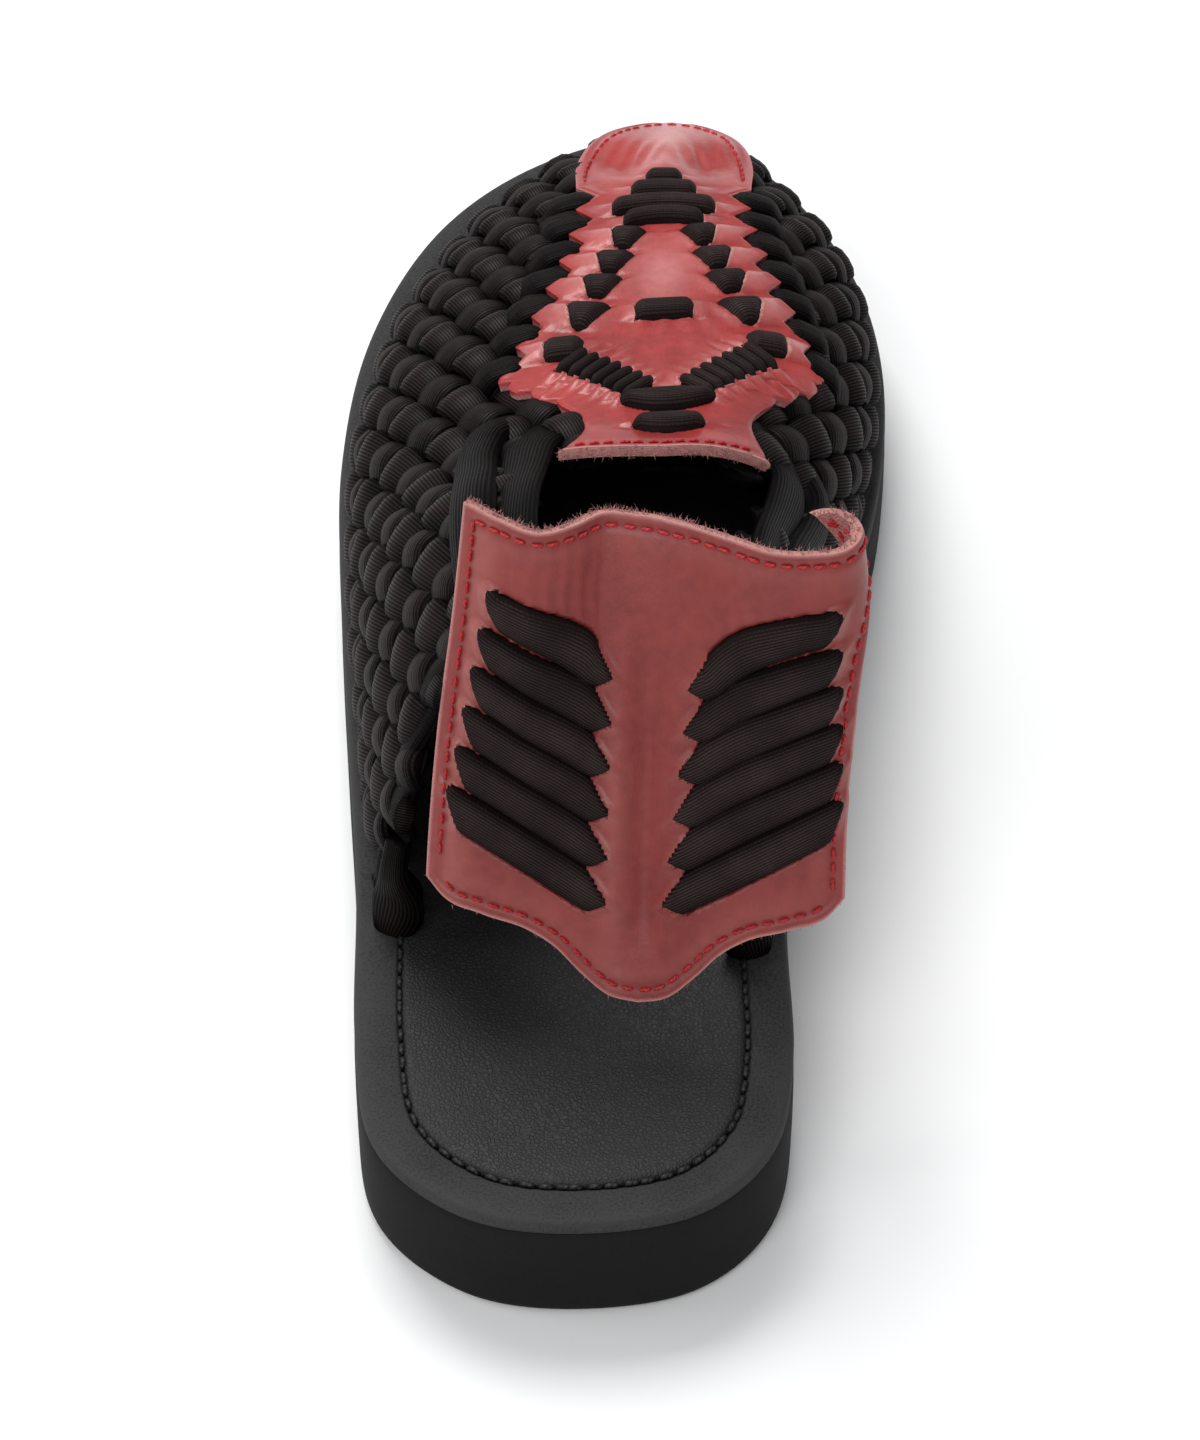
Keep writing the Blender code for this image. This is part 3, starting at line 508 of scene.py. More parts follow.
class Last(Surface):
    """The form of the foot: first coordinate -1 outer base, 0 ridge, 1 inner base; second y on the edge."""

    steps = 80
    rows = 290
    front = 141.4

    def __init__(self, sole: SoleForm) -> None:
        """Work out the sections.

        Args:
            sole: The sole that they stand on.
        """
        self.sole = sole
        columns = {Side.OUTER: slice(0, self.steps + 1), Side.INNER: slice(None, self.steps - 1, -1)}
        y_axis = np.linspace(LAST_SECTIONS[0][0], self.front, self.rows)
        grid = np.zeros((2 * self.steps + 1, self.rows, 3))
        self.halves = {side: np.zeros(self.rows) for side in Side}
        for k, y in enumerate(y_axis):
            for side in Side:
                points = self.half_section(y, side)
                run = run_length(points)
                self.halves[side][k] = run[-1]
                even = np.linspace(0.0, run[-1], self.steps + 1)
                section = [np.interp(even, run, points[:, m]) for m in range(3)]
                grid[columns[side], k] = np.stack(section, axis=1)
        super().__init__(np.linspace(-1.0, 1.0, 2 * self.steps + 1), y_axis, grid)

    def half_section(self, y: float, side: Side) -> Array:
        """One side of a section, from its base to the ridge.

        Args:
            y: The section's y on the sole's edge.
            side: The side.

        Returns:
            Points along it.
        """
        knots = column(LAST_SECTIONS, 0)
        inset_at = 1 if side is Side.OUTER else 2
        inset, ridge_x, ridge_y, ridge_z, fullness, bulge = (
            float(smooth(y, knots, column(LAST_SECTIONS, k))) for k in (inset_at, 3, 4, 5, 6, 7)
        )
        angle = np.linspace(0.0, math.pi / 2, 60)
        run = 1.0 - np.cos(angle) ** (2.0 / fullness)
        rise = np.sin(angle) ** (2.0 / fullness)
        slide = angle / angle[-1]
        swell = bulge * np.sin(math.pi * slide**0.7)
        base = self.sole.edge_at_y(side, y, inset)
        foot_z = float(self.sole.bed(base[1])) + 0.3 + 0.7 * np.clip((y - 60.0) / 16.0, 0.0, 1.0)
        inward = np.array([ridge_x - base[0], ridge_y - base[1]])
        outward = -inward / max(np.linalg.norm(inward), 1.0)
        return np.column_stack([
            base[0] + inward[0] * run + outward[0] * swell,
            base[1] + inward[1] * slide + outward[1] * swell * (1 - slide),
            foot_z + (ridge_z - foot_z) * rise,
        ])

    def half(self, sign: Array, y: Array) -> Array:
        """Arc length from ridge to base.

        Args:
            sign: Below 0 for the outer side.
            y: Place along the sole's edge.

        Returns:
            The length at each place.
        """
        outer = np.interp(y, self.second, self.halves[Side.OUTER])
        inner = np.interp(y, self.second, self.halves[Side.INNER])
        return np.where(np.asarray(sign) < 0.0, outer, inner)

    def at(self, a: Array, b: Array) -> Array:
        """Points of the last, carried straight down below its base.

        Args:
            a: Share of the way from ridge to base, below 0 on the outer side.
            b: Place along the sole's edge.

        Returns:
            Points, with x, y and z last.
        """
        point = super().at(a, b)
        point[..., 2] -= np.clip(np.abs(a) - 1.0, 0.0, None) * self.half(a, b)
        return point

    def by_arc(self, across: Array, y: Array, offset: Array | float) -> Array:
        """Points off the last by arc length from its ridge."""
        return self.lifted(across / self.half(across, y), y, offset)


class StrapForm(Surface):
    """The heel strap's middle surface: first coordinate across it, second height along it."""

    lean = math.radians(30.0)
    foot = (9.8, -97.0, 34.0)
    tab = 18.0
    tall = 72.0
    sheer = -1.0
    bow = 260.0
    curl_start = 32.0
    curl_radius = 5.0

    def __init__(self) -> None:
        """Bend the panel: leaning, swaying at its top edge, curled at its inner top corner."""
        across = np.arange(-56.0, 56.25, 0.5)
        height = np.arange(-22.0, 76.5, 1.0)
        grid = np.zeros((len(across), len(height), 3))
        middle = len(across) // 2
        for k, high in enumerate(height):
            share = np.clip(high / self.tall, 0.0, 1.0)
            turn = np.clip(across - self.curl_start, 0.0, None) / self.curl_radius
            heading = across / self.bow + turn * (0.06 + 0.94 * share**1.4)
            x = np.cumsum(np.cos(heading)) * 0.5
            forward = np.cumsum(np.sin(heading)) * 0.5
            forward += smooth(across, column(STRAP_SWAY, 0), column(STRAP_SWAY, 1)) * share**1.5
            rise = high + self.tab
            grid[:, k, 0] = self.foot[0] + self.sheer * rise / (self.tall + self.tab) + x - x[middle]
            sway = forward - forward[middle]
            sway += smooth(0.0, column(STRAP_SWAY, 0), column(STRAP_SWAY, 1)) * share**1.5
            grid[:, k, 1] = self.foot[1] + rise * math.sin(self.lean) + sway
            grid[:, k, 2] = self.foot[2] + rise * math.cos(self.lean)
        super().__init__(across, height, grid)


class VampForm:
    """The vamp's place on the last: across from the ridge, and skewed rows along it."""

    front = 141.2
    rear = 2.0
    tab_centre = 112.0
    tab_nose = 1.2
    tab_fullness = 2.5
    seat = 0.4
    thick = 2.0
    tooth_first = 36.0
    tooth_last = 106.0
    tooth_pitch = 10.0
    tooth_deep = 4.0
    wing_first = 21.0
    wing_pitch = 4.6
    wing_deep = 2.6
    wing_teeth = 3

    def __init__(self, last: Last) -> None:
        """Keep the last."""
        self.last = last

    @property
    def top(self) -> float:
        """Height of the leather's face over the last."""
        return self.seat + self.thick

    def skew(self, row: Array) -> Array:
        """How far a row runs towards the toe for each millimetre across."""
        return smooth(row, column(VAMP_ROWS, 0), column(VAMP_ROWS, 2))

    def body_half(self, row: Array) -> Array:
        """Half width of the leather without its teeth.

        Args:
            row: Row along the vamp.

        Returns:
            The half width at each row.
        """
        half = smooth(row, column(VAMP_ROWS, 0), column(VAMP_ROWS, 1))
        reach = np.clip((row - self.tab_centre) / (self.front - self.tab_centre), 0.0, 1.0)
        curve = (1.0 - reach**self.tab_fullness) ** (1.0 / self.tab_fullness)
        return np.maximum(half * curve, self.tab_nose)

    def half(self, row: Array) -> Array:
        """Half width of the leather with its teeth.

        Args:
            row: Row along the vamp.

        Returns:
            The half width at each row.
        """
        phase = (row - self.tooth_first) / self.tooth_pitch % 1.0
        toothed = (row > self.tooth_first) & (row < self.tooth_last)
        step = (row - self.wing_first) / self.wing_pitch % 1.0
        winged = (row > self.wing_first) & (row < self.wing_first + self.wing_teeth * self.wing_pitch)
        teeth = toothed * self.tooth_deep * (1.0 - np.abs(2.0 * phase - 1.0))
        return self.body_half(row) - (teeth + winged * self.wing_deep * step**2)

    def place(self, across: Array, row: Array, offset: Array | float) -> Array:
        """Points over the vamp's place on the last."""
        y = np.minimum(row + self.skew(row) * across, self.last.front - 0.1)
        return self.last.by_arc(across, y, offset)

    def cover(self, share: Array, y: Array) -> Array:
        """How far a place on the last lies under the leather.

        Args:
            share: First coordinate on the last.
            y: Second coordinate on the last.

        Returns:
            From 0 outside to 1 well under it.
        """
        across = share * self.last.half(share, y)
        row = y - self.skew(y) * across
        inside = self.body_half(row) - 3.0 - np.abs(across)
        return ease((np.where(row < self.rear - 1.0, -9.0, inside) + 3.0) / 4.0)


class Parts:
    """Points, faces and surface values of one piece, gathered before its mesh is made."""

    shift = np.zeros(3)

    def __init__(self) -> None:
        """Start empty."""
        self.points: list[Array] = []
        self.faces: list[list[int]] = []
        self.values: dict[str, list[tuple[int, Array]]] = {}
        self.count = 0

    def take(self, points: Array, values: dict[str, Array]) -> Array:
        """Keep a block of points with its values.

        Args:
            points: Points with x, y and z last.
            values: Surface values by name, each shaped like the points.

        Returns:
            The points' numbers, shaped like the points.
        """
        shape = points.shape[:-1]
        size = int(np.prod(shape))
        for name, value in values.items():
            block = np.broadcast_to(np.asarray(value, dtype=float), shape).ravel()
            self.values.setdefault(name, []).append((self.count, block))
        self.points.append(points.reshape(-1, 3))
        index = np.arange(self.count, self.count + size).reshape(shape)
        self.count += size
        return index

    def quads(self, index: Array) -> None:
        """Fill a grid of point numbers with quads."""
        corners = [index[:-1, :-1], index[:-1, 1:], index[1:, 1:], index[1:, :-1]]
        self.faces += np.stack(corners, axis=-1).reshape(-1, 4).tolist()

    def tube(self, points: Array, **values: Array) -> None:
        """Add a closed tube with both ends filled.

        Args:
            points: Rings of points, one ring a row.
            values: Surface values by name.
        """
        index = self.take(points, values)
        self.quads(np.concatenate([index, index[:, :1]], axis=1))
        self.faces += [index[0].tolist(), index[-1].tolist()]

    def shell(self, face: Array, back: Array, on_face: dict[str, Array], on_back: dict[str, Array]) -> None:
        """Add a closed sheet.

        Args:
            face: Grid of points on its face.
            back: Grid of the same size on its back.
            on_face: Surface values of the face by name.
            on_back: Surface values of the back by name.
        """
        front = self.take(face, on_face)
        rear = self.take(back, on_back)
        self.quads(front)
        self.quads(rear)
        for rim in (np.s_[0], np.s_[-1], np.s_[:, 0], np.s_[:, -1]):
            self.quads(np.stack([front[rim], rear[rim]]))

    def cord(self, centre: Array, normal: Array, wide: Array, thick: Array, ring: int = 12,
             start: float = 0.0, crown: Array | float = 0.0) -> None:
        """Add a flat cord along a line.

        Args:
            centre: Places along the cord's middle.
            normal: The direction that its flat side faces at each place.
            wide: Half width at each place.
            thick: Half thickness at each place.
            ring: Points round the cord.
            start: Length already run, for its cross threads.
            crown: 1 where the cord is drawn tight over another, -1 where it lies under, at each place.
        """
        along = unit(np.gradient(centre, axis=0))
        side = unit(np.cross(along, normal))
        up = np.cross(side, along)
        angle = np.arange(ring) * 2.0 * math.pi / ring
        x = squared(np.cos(angle), 0.85)
        z = squared(np.sin(angle), 0.95)
        points = centre[:, None] + side[:, None] * (wide[:, None] * x)[..., None]
        points = points + up[:, None] * (thick[:, None] * z)[..., None]
        run = (start + run_length(centre))[:, None]
        self.tube(points, across=x[None, :], along=run, crown=np.broadcast_to(crown, len(centre))[:, None])

    def piece(self, name: str, finish: bpy.types.Material, slot: Slot | None, *nodes: str,
              sharp: float | None = None) -> bpy.types.Object:
        """Make the mesh and let it ride on the shoe.

        Args:
            name: The piece's name.
            finish: Its material.
            slot: The record's slot of that finish; not used.
            nodes: The solids that the piece stands for.
            sharp: Angle in degrees past which an edge is drawn sharp.

        Returns:
            The new object.
        """
        mesh = bpy.data.meshes.new(name)
        mesh.from_pydata(((np.concatenate(self.points) + self.shift) * MM).tolist(), [], self.faces)
        form = bmesh.new()
        form.from_mesh(mesh)
        bmesh.ops.recalc_face_normals(form, faces=form.faces)
        form.to_mesh(mesh)
        form.free()
        for key, blocks in self.values.items():
            spread = np.zeros(self.count, dtype=np.float32)
            for first, block in blocks:
                spread[first : first + len(block)] = block
            mesh.attributes.new(key, "FLOAT", "POINT").data.foreach_set("value", spread)
        mesh.shade_smooth()
        if sharp:
            mesh.set_sharp_from_angle(angle=math.radians(sharp))
        mesh.materials.append(finish)
        item = stand(name, mesh)
        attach(item, BODY)
        if nodes:
            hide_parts(*nodes)
        mesh.calc_loop_triangles()
        LOG.info("%s: %d triangles", name, len(mesh.loop_triangles))
        return item


class Term:
    """A value in a node tree that takes part in Python arithmetic."""

    def __init__(self, tree: "Tree", socket: bpy.types.NodeSocket) -> None:
        """Wrap an output socket."""
        self.tree = tree
        self.socket = socket

    def math(self, operation: str, *values: "Term | float") -> "Term":
        """The result of one Math node."""
        return self.tree.node("ShaderNodeMath", {"operation": operation}, dict(enumerate(values)))

    def __add__(self, other: "Term | float") -> "Term":
        """Sum."""
        return self.math("ADD", self, other)

    def __radd__(self, other: float) -> "Term":
        """Sum with a number first."""
        return self.math("ADD", other, self)

    def __sub__(self, other: "Term | float") -> "Term":
        """Difference."""
        return self.math("SUBTRACT", self, other)

    def __rsub__(self, other: float) -> "Term":
        """Difference from a number."""
        return self.math("SUBTRACT", other, self)

    def __mul__(self, other: "Term | float") -> "Term":
        """Product."""
        return self.math("MULTIPLY", self, other)

    def __rmul__(self, other: float) -> "Term":
        """Product with a number first."""
        return self.math("MULTIPLY", other, self)

    def __pow__(self, other: float) -> "Term":
        """Power."""
        return self.math("POWER", self, other)

    def cosine(self) -> "Term":
        """Cosine of the value."""
        return self.math("COSINE", self)

    def between(self, low: float, high: float) -> "Term":
        """A soft step from 0 at low to 1 at high."""
        inputs = {"Value": self, "From Min": low, "From Max": high}
        return self.tree.node("ShaderNodeMapRange", {"interpolation_type": "SMOOTHSTEP"}, inputs)


class Tree:
    """The node tree of one material."""

    def __init__(self, name: str) -> None:
        """Start a material with a plain Principled shader.

        Args:
            name: The material's name.
        """
        self.material = bpy.data.materials.new(name)
        self.material.use_nodes = True
        self.nodes = self.material.node_tree.nodes
        self.links = self.material.node_tree.links
        self.shader = self.nodes["Principled BSDF"]

    def feed(self, socket: bpy.types.NodeSocket, value: "Term | float | tuple") -> None:
        """Link a term to a socket, or set the socket's own value.

        Args:
            socket: The input socket.
            value: What it takes.
        """
        if isinstance(value, Term):
            self.links.new(value.socket, socket)
        elif isinstance(value, tuple) and socket.type == "RGBA":
            socket.default_value = (*value, 1.0)
        else:
            socket.default_value = value

    def node(self, kind: str, settings: dict | None = None, inputs: dict | None = None,
             output: int | str = 0) -> Term:
        """Add a node.

        Args:
            kind: The node's type.
            settings: Its own settings, set first.
            inputs: Values or links of its sockets, by name or place.
            output: The output to hand back.

        Returns:
            The node's output.
        """
        made = self.nodes.new(kind)
        for key, value in (settings or {}).items():
            setattr(made, key, value)
        for key, value in (inputs or {}).items():
            self.feed(made.inputs[key], value)
        return Term(self, made.outputs[output])

    def surface(self, **inputs: "Term | float | tuple") -> None:
        """Set the shader's sockets, named with underscores for spaces."""
        for key, value in inputs.items():
            self.feed(self.shader.inputs[key.replace("_", " ")], value)

    def value(self, name: str) -> Term:
        """A surface value kept on the mesh."""
        return self.node("ShaderNodeAttribute", {"attribute_name": name}, output="Fac")

    def noise(self, size: float, detail: float = 2.0, vector: Term | None = None) -> Term:
        """Soft noise.

        Args:
            size: Size of its features in millimetres.
            detail: Number of finer layers.
            vector: Place to read it at, the object's own place if none.

        Returns:
            A value round 0.5.
        """
        place = vector or self.node("ShaderNodeTexCoord", output="Object")
        inputs = {"Vector": place, "Scale": 1.0 / (size * MM), "Detail": detail}
        return self.node("ShaderNodeTexNoise", inputs=inputs)

    def cells(self, size: float) -> Term:
        """Distance to the nearest cell edge of a leather-like pattern.

        Args:
            size: Size of a cell in millimetres.

        Returns:
            0 on an edge, rising into the cell.
        """
        place = self.node("ShaderNodeTexCoord", output="Object")
        inputs = {"Vector": place, "Scale": 1.0 / (size * MM)}
        return self.node("ShaderNodeTexVoronoi", {"feature": "DISTANCE_TO_EDGE"}, inputs)

    def mix(self, share: Term | float, low: "Term | Colour", high: "Term | Colour") -> Term:
        """A colour between two colours."""
        return self.node("ShaderNodeMix", {"data_type": "RGBA"}, {0: share, 6: low, 7: high}, 2)

    def bump(self, height: Term, deep: float, strength: float = 1.0) -> Term:
        """A normal raised by a height, in millimetres for a height of 1."""
        inputs = {"Height": height, "Distance": deep * MM, "Strength": strength}
        return self.node("ShaderNodeBump", inputs=inputs)


@dataclass(frozen=True)
class CordFinish:
    """Ribbed black nylon cord, with painted highlight and painted shade in its colour."""

    name: str
    dark: Colour
    light: Colour
    gloss: float
    ribs: float = 14.0
    pick: float = 0.8
    rough: float = 0.52

    def material(self) -> bpy.types.Material:
        """Make the finish.

        Returns:
            The material.
        """
        tree = Tree(self.name)
        across = tree.value("across")
        along = tree.value("along")
        rib = 0.5 + 0.5 * (across * (math.pi * self.ribs)).cosine()
        lean = across * (math.pi * self.ribs)
        pick = 0.5 + 0.5 * (along * (2.0 * math.pi / self.pick) + lean).cosine()
        cloudy = tree.noise(9.0, 2.0)
        fibre = tree.noise(0.35, 3.0)
        crown = tree.value("crown")
        # painted shade: the colour darkens towards both edges of each cord, in the gaps between cords
        edge = across * across
        # painted highlight on the rib crowns, the cross threads and where a cord lies over another; painted
        # shade where it lies under; the two noises are the cord's own tone
        tone_and_painted_light = rib * 0.3 + pick * rib * 0.2 + cloudy * 0.6 + fibre * 0.3 - 0.36 - 0.3 * edge + 0.32 * crown
        shine = (0.5 + 0.5 * crown) * (1.0 - 0.8 * edge) * (0.1 + 0.9 * rib) * (0.4 + 0.9 * fibre)
        tree.surface(
            Base_Color=tree.mix(tone_and_painted_light.between(0.0, 1.0), self.dark, self.light),
            Roughness=self.rough + 0.18 * fibre - 0.12 * rib,
            Coat_Weight=self.gloss * shine,
            Normal=tree.bump(rib * 0.75 + pick * 0.22 + fibre * 0.3, 0.17, 0.9),
            Coat_Roughness=0.44,
            Specular_IOR_Level=0.02,
        )
        return tree.material


@dataclass(frozen=True)
class LeatherFinish:
    """Dyed smooth leather with a raw cut edge and a suede back; its colour also carries a painted sheen and
    painted shade in its creases.
    """

    name: str
    base: Colour
    deep: Colour
    painted_sheen: Colour
    raw: Colour
    suede: Colour
    rough: float
    coat: float

    def material(self) -> bpy.types.Material:
        """Make the finish.

        Returns:
            The material.
        """
        tree = Tree(self.name)
        cut = tree.value("raw")
        painted_crease_shade = tree.value("painted_crease_shade")
        flesh = tree.value("flesh")
        painted_sheen = tree.value("painted_sheen")
        cloud = tree.noise(16.0, 3.0)
        mottle = tree.noise(2.2, 3.0)
        pore = tree.noise(0.55, 2.0)
        nap = tree.noise(0.28, 3.0)
        dye_and_painted_light = tree.mix((cloud * 0.6 + mottle * 0.4).between(0.32, 0.68), self.deep, self.base)
        # painted highlight: mixes in the pale sheen colour over the sheen mask
        dye_and_painted_light = tree.mix(painted_sheen * (0.55 + 0.5 * mottle), dye_and_painted_light, self.painted_sheen)
        # painted shade: darkens towards the deep colour along the crease mask
        dye_and_painted_light = tree.mix(painted_crease_shade * 0.75, dye_and_painted_light, self.deep)
        fur = tree.mix(nap.between(0.3, 0.7), self.suede, self.raw)
        fur = tree.mix(cut, fur, self.raw)
        bare = (flesh + cut - flesh * cut).between(0.15, 0.85)
        place = {0: tree.value("wide") * MM, 1: tree.value("high") * (0.16 * MM)}
        line = tree.node("ShaderNodeCombineXYZ", inputs=place)
        wrinkle = tree.noise(1.5, 2.0, line) ** 2.0
        tooth = pore * 0.18 + wrinkle * 0.35 + mottle * 0.3 + bare * nap * 1.6
        tree.surface(
            Base_Color=tree.mix(bare, dye_and_painted_light, fur),
            Roughness=self.rough + 0.16 * pore + bare * (0.9 - self.rough) + 0.1 * painted_crease_shade - 0.1 * painted_sheen,
            Coat_Weight=self.coat * (1.0 - bare),
            Normal=tree.bump(tooth, 0.34, 0.75),
            Coat_Roughness=0.22,
            Specular_IOR_Level=0.5,
        )
        return tree.material


@dataclass(frozen=True)
class FoamFinish:
    """Closed foam, matt, with a fine grain, faint scuffs and a painted highlight along its rounded edges,
    and painted shade in the seams between layers.
    """

    name: str
    dark: Colour
    light: Colour
    grain: float
    deep: float
    rough: float
    painted_gap_shade: Colour = (0.004, 0.004, 0.004)

    def material(self) -> bpy.types.Material:
        """Make the finish.

        Returns:
            The material.
        """
        tree = Tree(self.name)
        grain = tree.noise(self.grain, 3.0)
        cloud = tree.noise(14.0, 3.0)
        rub = tree.value("rub")
        seam = tree.value("seam")
        # lighter over the edge mask: scuffs on the outsole's lower edge, painted highlight on the midsole's
        # rounded top edge
        tone = (grain * 1.6 + cloud * 0.6 + rub * 0.5 - 0.62).between(0.1, 1.0)
        # painted shade: the seam mask mixes in the near-black crevice colour in the gaps between layers
        shade = tree.mix(seam, tree.mix(tone, self.dark, self.light), self.painted_gap_shade)
        tree.surface(
            Base_Color=shade,
            Roughness=self.rough + 0.15 * grain - 0.1 * rub,
            Normal=tree.bump(grain + 0.4 * cloud, self.deep, 0.8),
            Specular_IOR_Level=0.22,
        )
        return tree.material


@dataclass(frozen=True)
class InsoleFinish:
    """Black grained leather, with a painted highlight round the rim of its dish."""

    name: str = "insole_black_leather"
    dark: Colour = (0.0048, 0.0048, 0.0050)
    light: Colour = (0.0165, 0.0166, 0.0172)

    def material(self) -> bpy.types.Material:
        """Make the finish.

        Returns:
            The material.
        """
        tree = Tree(self.name)
        pebble = tree.cells(0.85).between(0.0, 0.28)
        cloud = tree.noise(22.0, 3.0)
        speck = tree.noise(0.5, 2.0)
        rub = tree.value("rub")
        # painted highlight round the rim of the dish, from the rings' values
        tone = (cloud * 0.6 + pebble * 0.25 + speck * 0.3 + rub * 0.25 - 0.2).between(0.1, 0.9)
        tree.surface(
            Base_Color=tree.mix(tone, self.dark, self.light),
            Roughness=0.46 + 0.16 * cloud + 0.12 * speck,
            Normal=tree.bump(pebble * 0.8 + speck * 0.35, 0.13, 0.8),
            Specular_IOR_Level=0.4,
        )
        return tree.material


@dataclass(frozen=True)
class ThreadFinish:
    """Twisted sewing thread."""

    name: str
    colour: Colour

    def material(self) -> bpy.types.Material:
        """Make the finish.

        Returns:
            The material.
        """
        tree = Tree(self.name)
        twist = 0.5 + 0.5 * (tree.value("along") * 7.0 + tree.value("across") * 3.0).cosine()
        # painted shade: the colour darkens in the grooves of the twist
        twist_shade = tuple(0.55 * part for part in self.colour)
        tree.surface(
            Base_Color=tree.mix(twist, twist_shade, self.colour),
            Roughness=0.5 + 0.2 * twist,
            Normal=tree.bump(twist, 0.12, 0.8),
        )
        return tree.material


PLAIT_CORD = CordFinish("plait_black_cord", (0.0011, 0.0007, 0.0007), (0.0220, 0.0148, 0.0140), 0.34)
# painted shade: the strands round the throat take a darker copy of the plait's black cord
COLLAR_CORD_PAINTED_SHADE = CordFinish("collar_black_cord", (0.0012, 0.0008, 0.0007), (0.0110, 0.0074, 0.0070), 0.20)
# painted light: the runs laced through vamp and strap take a lighter copy of the same black cord
LACING_CORD_PAINTED_LIGHT = CordFinish("lacing_black_cord", (0.0122, 0.0082, 0.0078), (0.0680, 0.0460, 0.0435), 0.26)
# each leather's pale sheen colour is a painted highlight
RED = LeatherFinish(
    "red_leather", base=(0.375, 0.027, 0.024), deep=(0.24, 0.013, 0.012), painted_sheen=(0.52, 0.165, 0.155),
    raw=(0.62, 0.29, 0.265), suede=(0.30, 0.10, 0.09), rough=0.36, coat=0.22,
)
# painted shade: the strap takes a darker copy of the vamp's red leather
SHADED_STRAP_RED = LeatherFinish(
    "strap_red_leather", base=(0.275, 0.036, 0.030), deep=(0.200, 0.021, 0.018), painted_sheen=(0.38, 0.112, 0.098),
    raw=(0.60, 0.28, 0.255), suede=(0.28, 0.09, 0.08), rough=0.42, coat=0.14,
)
OUTSOLE_FOAM = FoamFinish(
    "outsole_black_foam", dark=(0.0020, 0.0018, 0.0018), light=(0.0060, 0.0056, 0.0055),
    grain=0.5, deep=0.10, rough=0.78,
)
MIDSOLE_FOAM = FoamFinish(
    "midsole_charcoal_foam", dark=(0.0145, 0.0141, 0.0141), light=(0.0425, 0.0415, 0.0415),
    grain=0.5, deep=0.2, rough=0.76,
)
RED_THREAD = ThreadFinish("red_thread", (0.52, 0.012, 0.020))
BLACK_THREAD = ThreadFinish("black_thread", (0.006, 0.006, 0.006))


@dataclass(frozen=True)
class CordRun:
    """A run of flat cord that shows between two slits in a leather sheet."""

    name: str
    start: Spot
    end: Spot
    width: float
    cut: float = 0.0
    bow: float = 0.0
    point_start: float = 0.0
    point_end: float = 0.0
    slant_start: float = 0.0
    blunt_start: float = 0.0
    bevel_end: float = 0.0
    lens: bool = False
    swell_start: float = 0.8
    swell_end: float = 0.8
    crown: float = 2.5
    dive: float = 2.8

    @property
    def half(self) -> float:
        """Half the length between the slits."""
        return math.dist(self.start, self.end) / 2.0

    def axes(self) -> tuple[Array, Array, Array]:
        """Where the run lies on its sheet.

        Returns:
            Its middle, its direction along, and its direction across that rises on the sheet.
        """
        start, end = np.array(self.start), np.array(self.end)
        along = (end - start) / np.linalg.norm(end - start)
        across = np.array([-along[1], along[0]])
        across = across if across[1] > 0 else -across
        return (start + end) / 2.0, along, across

    def local(self, a: Array, b: Array) -> tuple[Array, Array]:
        """The run's own coordinates of places on the sheet.

        Args:
            a: First coordinate of each place.
            b: Second coordinate of each place.

        Returns:
            Length along from the middle, and share of the half width across.
        """
        middle, along, across = self.axes()
        t = (a - middle[0]) * along[0] + (b - middle[1]) * along[1]
        c = (a - middle[0]) * across[0] + (b - middle[1]) * across[1]
        c = c - self.bow * (1.0 - np.clip(t / self.half, -1.0, 1.0) ** 2)
        return t, c / self.half_width(t)

    def half_width(self, t: Array) -> Array:
        """Half width along the run, drawn to points on a lens.

        Args:
            t: Length along from the middle.

        Returns:
            The half width at each place.
        """
        share = np.clip(np.abs(t) / (self.half + 0.4), 0.0, 1.0)
        narrow = 1.0 - 0.9 * share**2.2 if self.lens else 1.0 - 0.06 * share**3
        return self.width / 2.0 * narrow

    def reach(self, t: Array, c: Array) -> Array:
        """How far from the middle the leather's slit lies.

        Args:
            t: Length along from the middle, below 0 towards the start.
            c: Share of the half width across.

        Returns:
            The distance at each place.
        """
        c = np.clip(c, -1.0, 1.0)
        short = self.half * (1.0 - self.cut * (1.0 - c) / 2.0)
        blunt = self.blunt_start * np.clip((c - 0.45) / 0.55, 0.0, 1.0) ** 2
        inner = 1.0 - np.abs(c)
        at_start = short + self.point_start * inner + self.slant_start * c - blunt
        at_end = short + self.point_end * inner + self.bevel_end * (0.5 - np.clip(c, 0.0, 1.0))
        return np.where(t < 0.0, at_start, at_end)

    def build(self, parts: Parts, place: Callable[[Array, Array, Array], Array], top: float) -> None:
        """Add the cord, its ends drawn down through the slits.

        Args:
            parts: The piece that takes the cord.
            place: Gives points of the sheet from two coordinates and an offset.
            top: Offset of the sheet's face.
        """
        middle, along, across = self.axes()
        angle = np.arange(20) * 2.0 * math.pi / 20
        c = squared(np.cos(angle), 0.8)
        z = squared(np.sin(angle), 0.75)
        spread = squared(np.linspace(-1.0, 1.0, 33), 0.6)
        long = self.reach(spread[:, None], c[None, :]) + (0.5 if self.lens else 1.0)
        t = spread[:, None] * long
        into = np.clip((1.0 - np.abs(spread[:, None])) * long / self.dive, 0.0, 1.0)
        arch = 1.0 - (1.0 - into) ** 2.6
        bow = self.bow * (1.0 - np.clip(t / self.half, -1.0, 1.0) ** 2)
        side = bow + c[None, :] * self.half_width(t)
        a = middle[0] + t * along[0] + side * across[0]
        b = middle[1] + t * along[1] + side * across[1]
        high = (self.crown + 1.0) * arch
        offset = top - 1.0 + np.where(z[None, :] > 0.0, high * z[None, :], 0.35 * z[None, :])
        parts.tube(place(a, b, offset), across=c[None, :], along=t - t[:1])


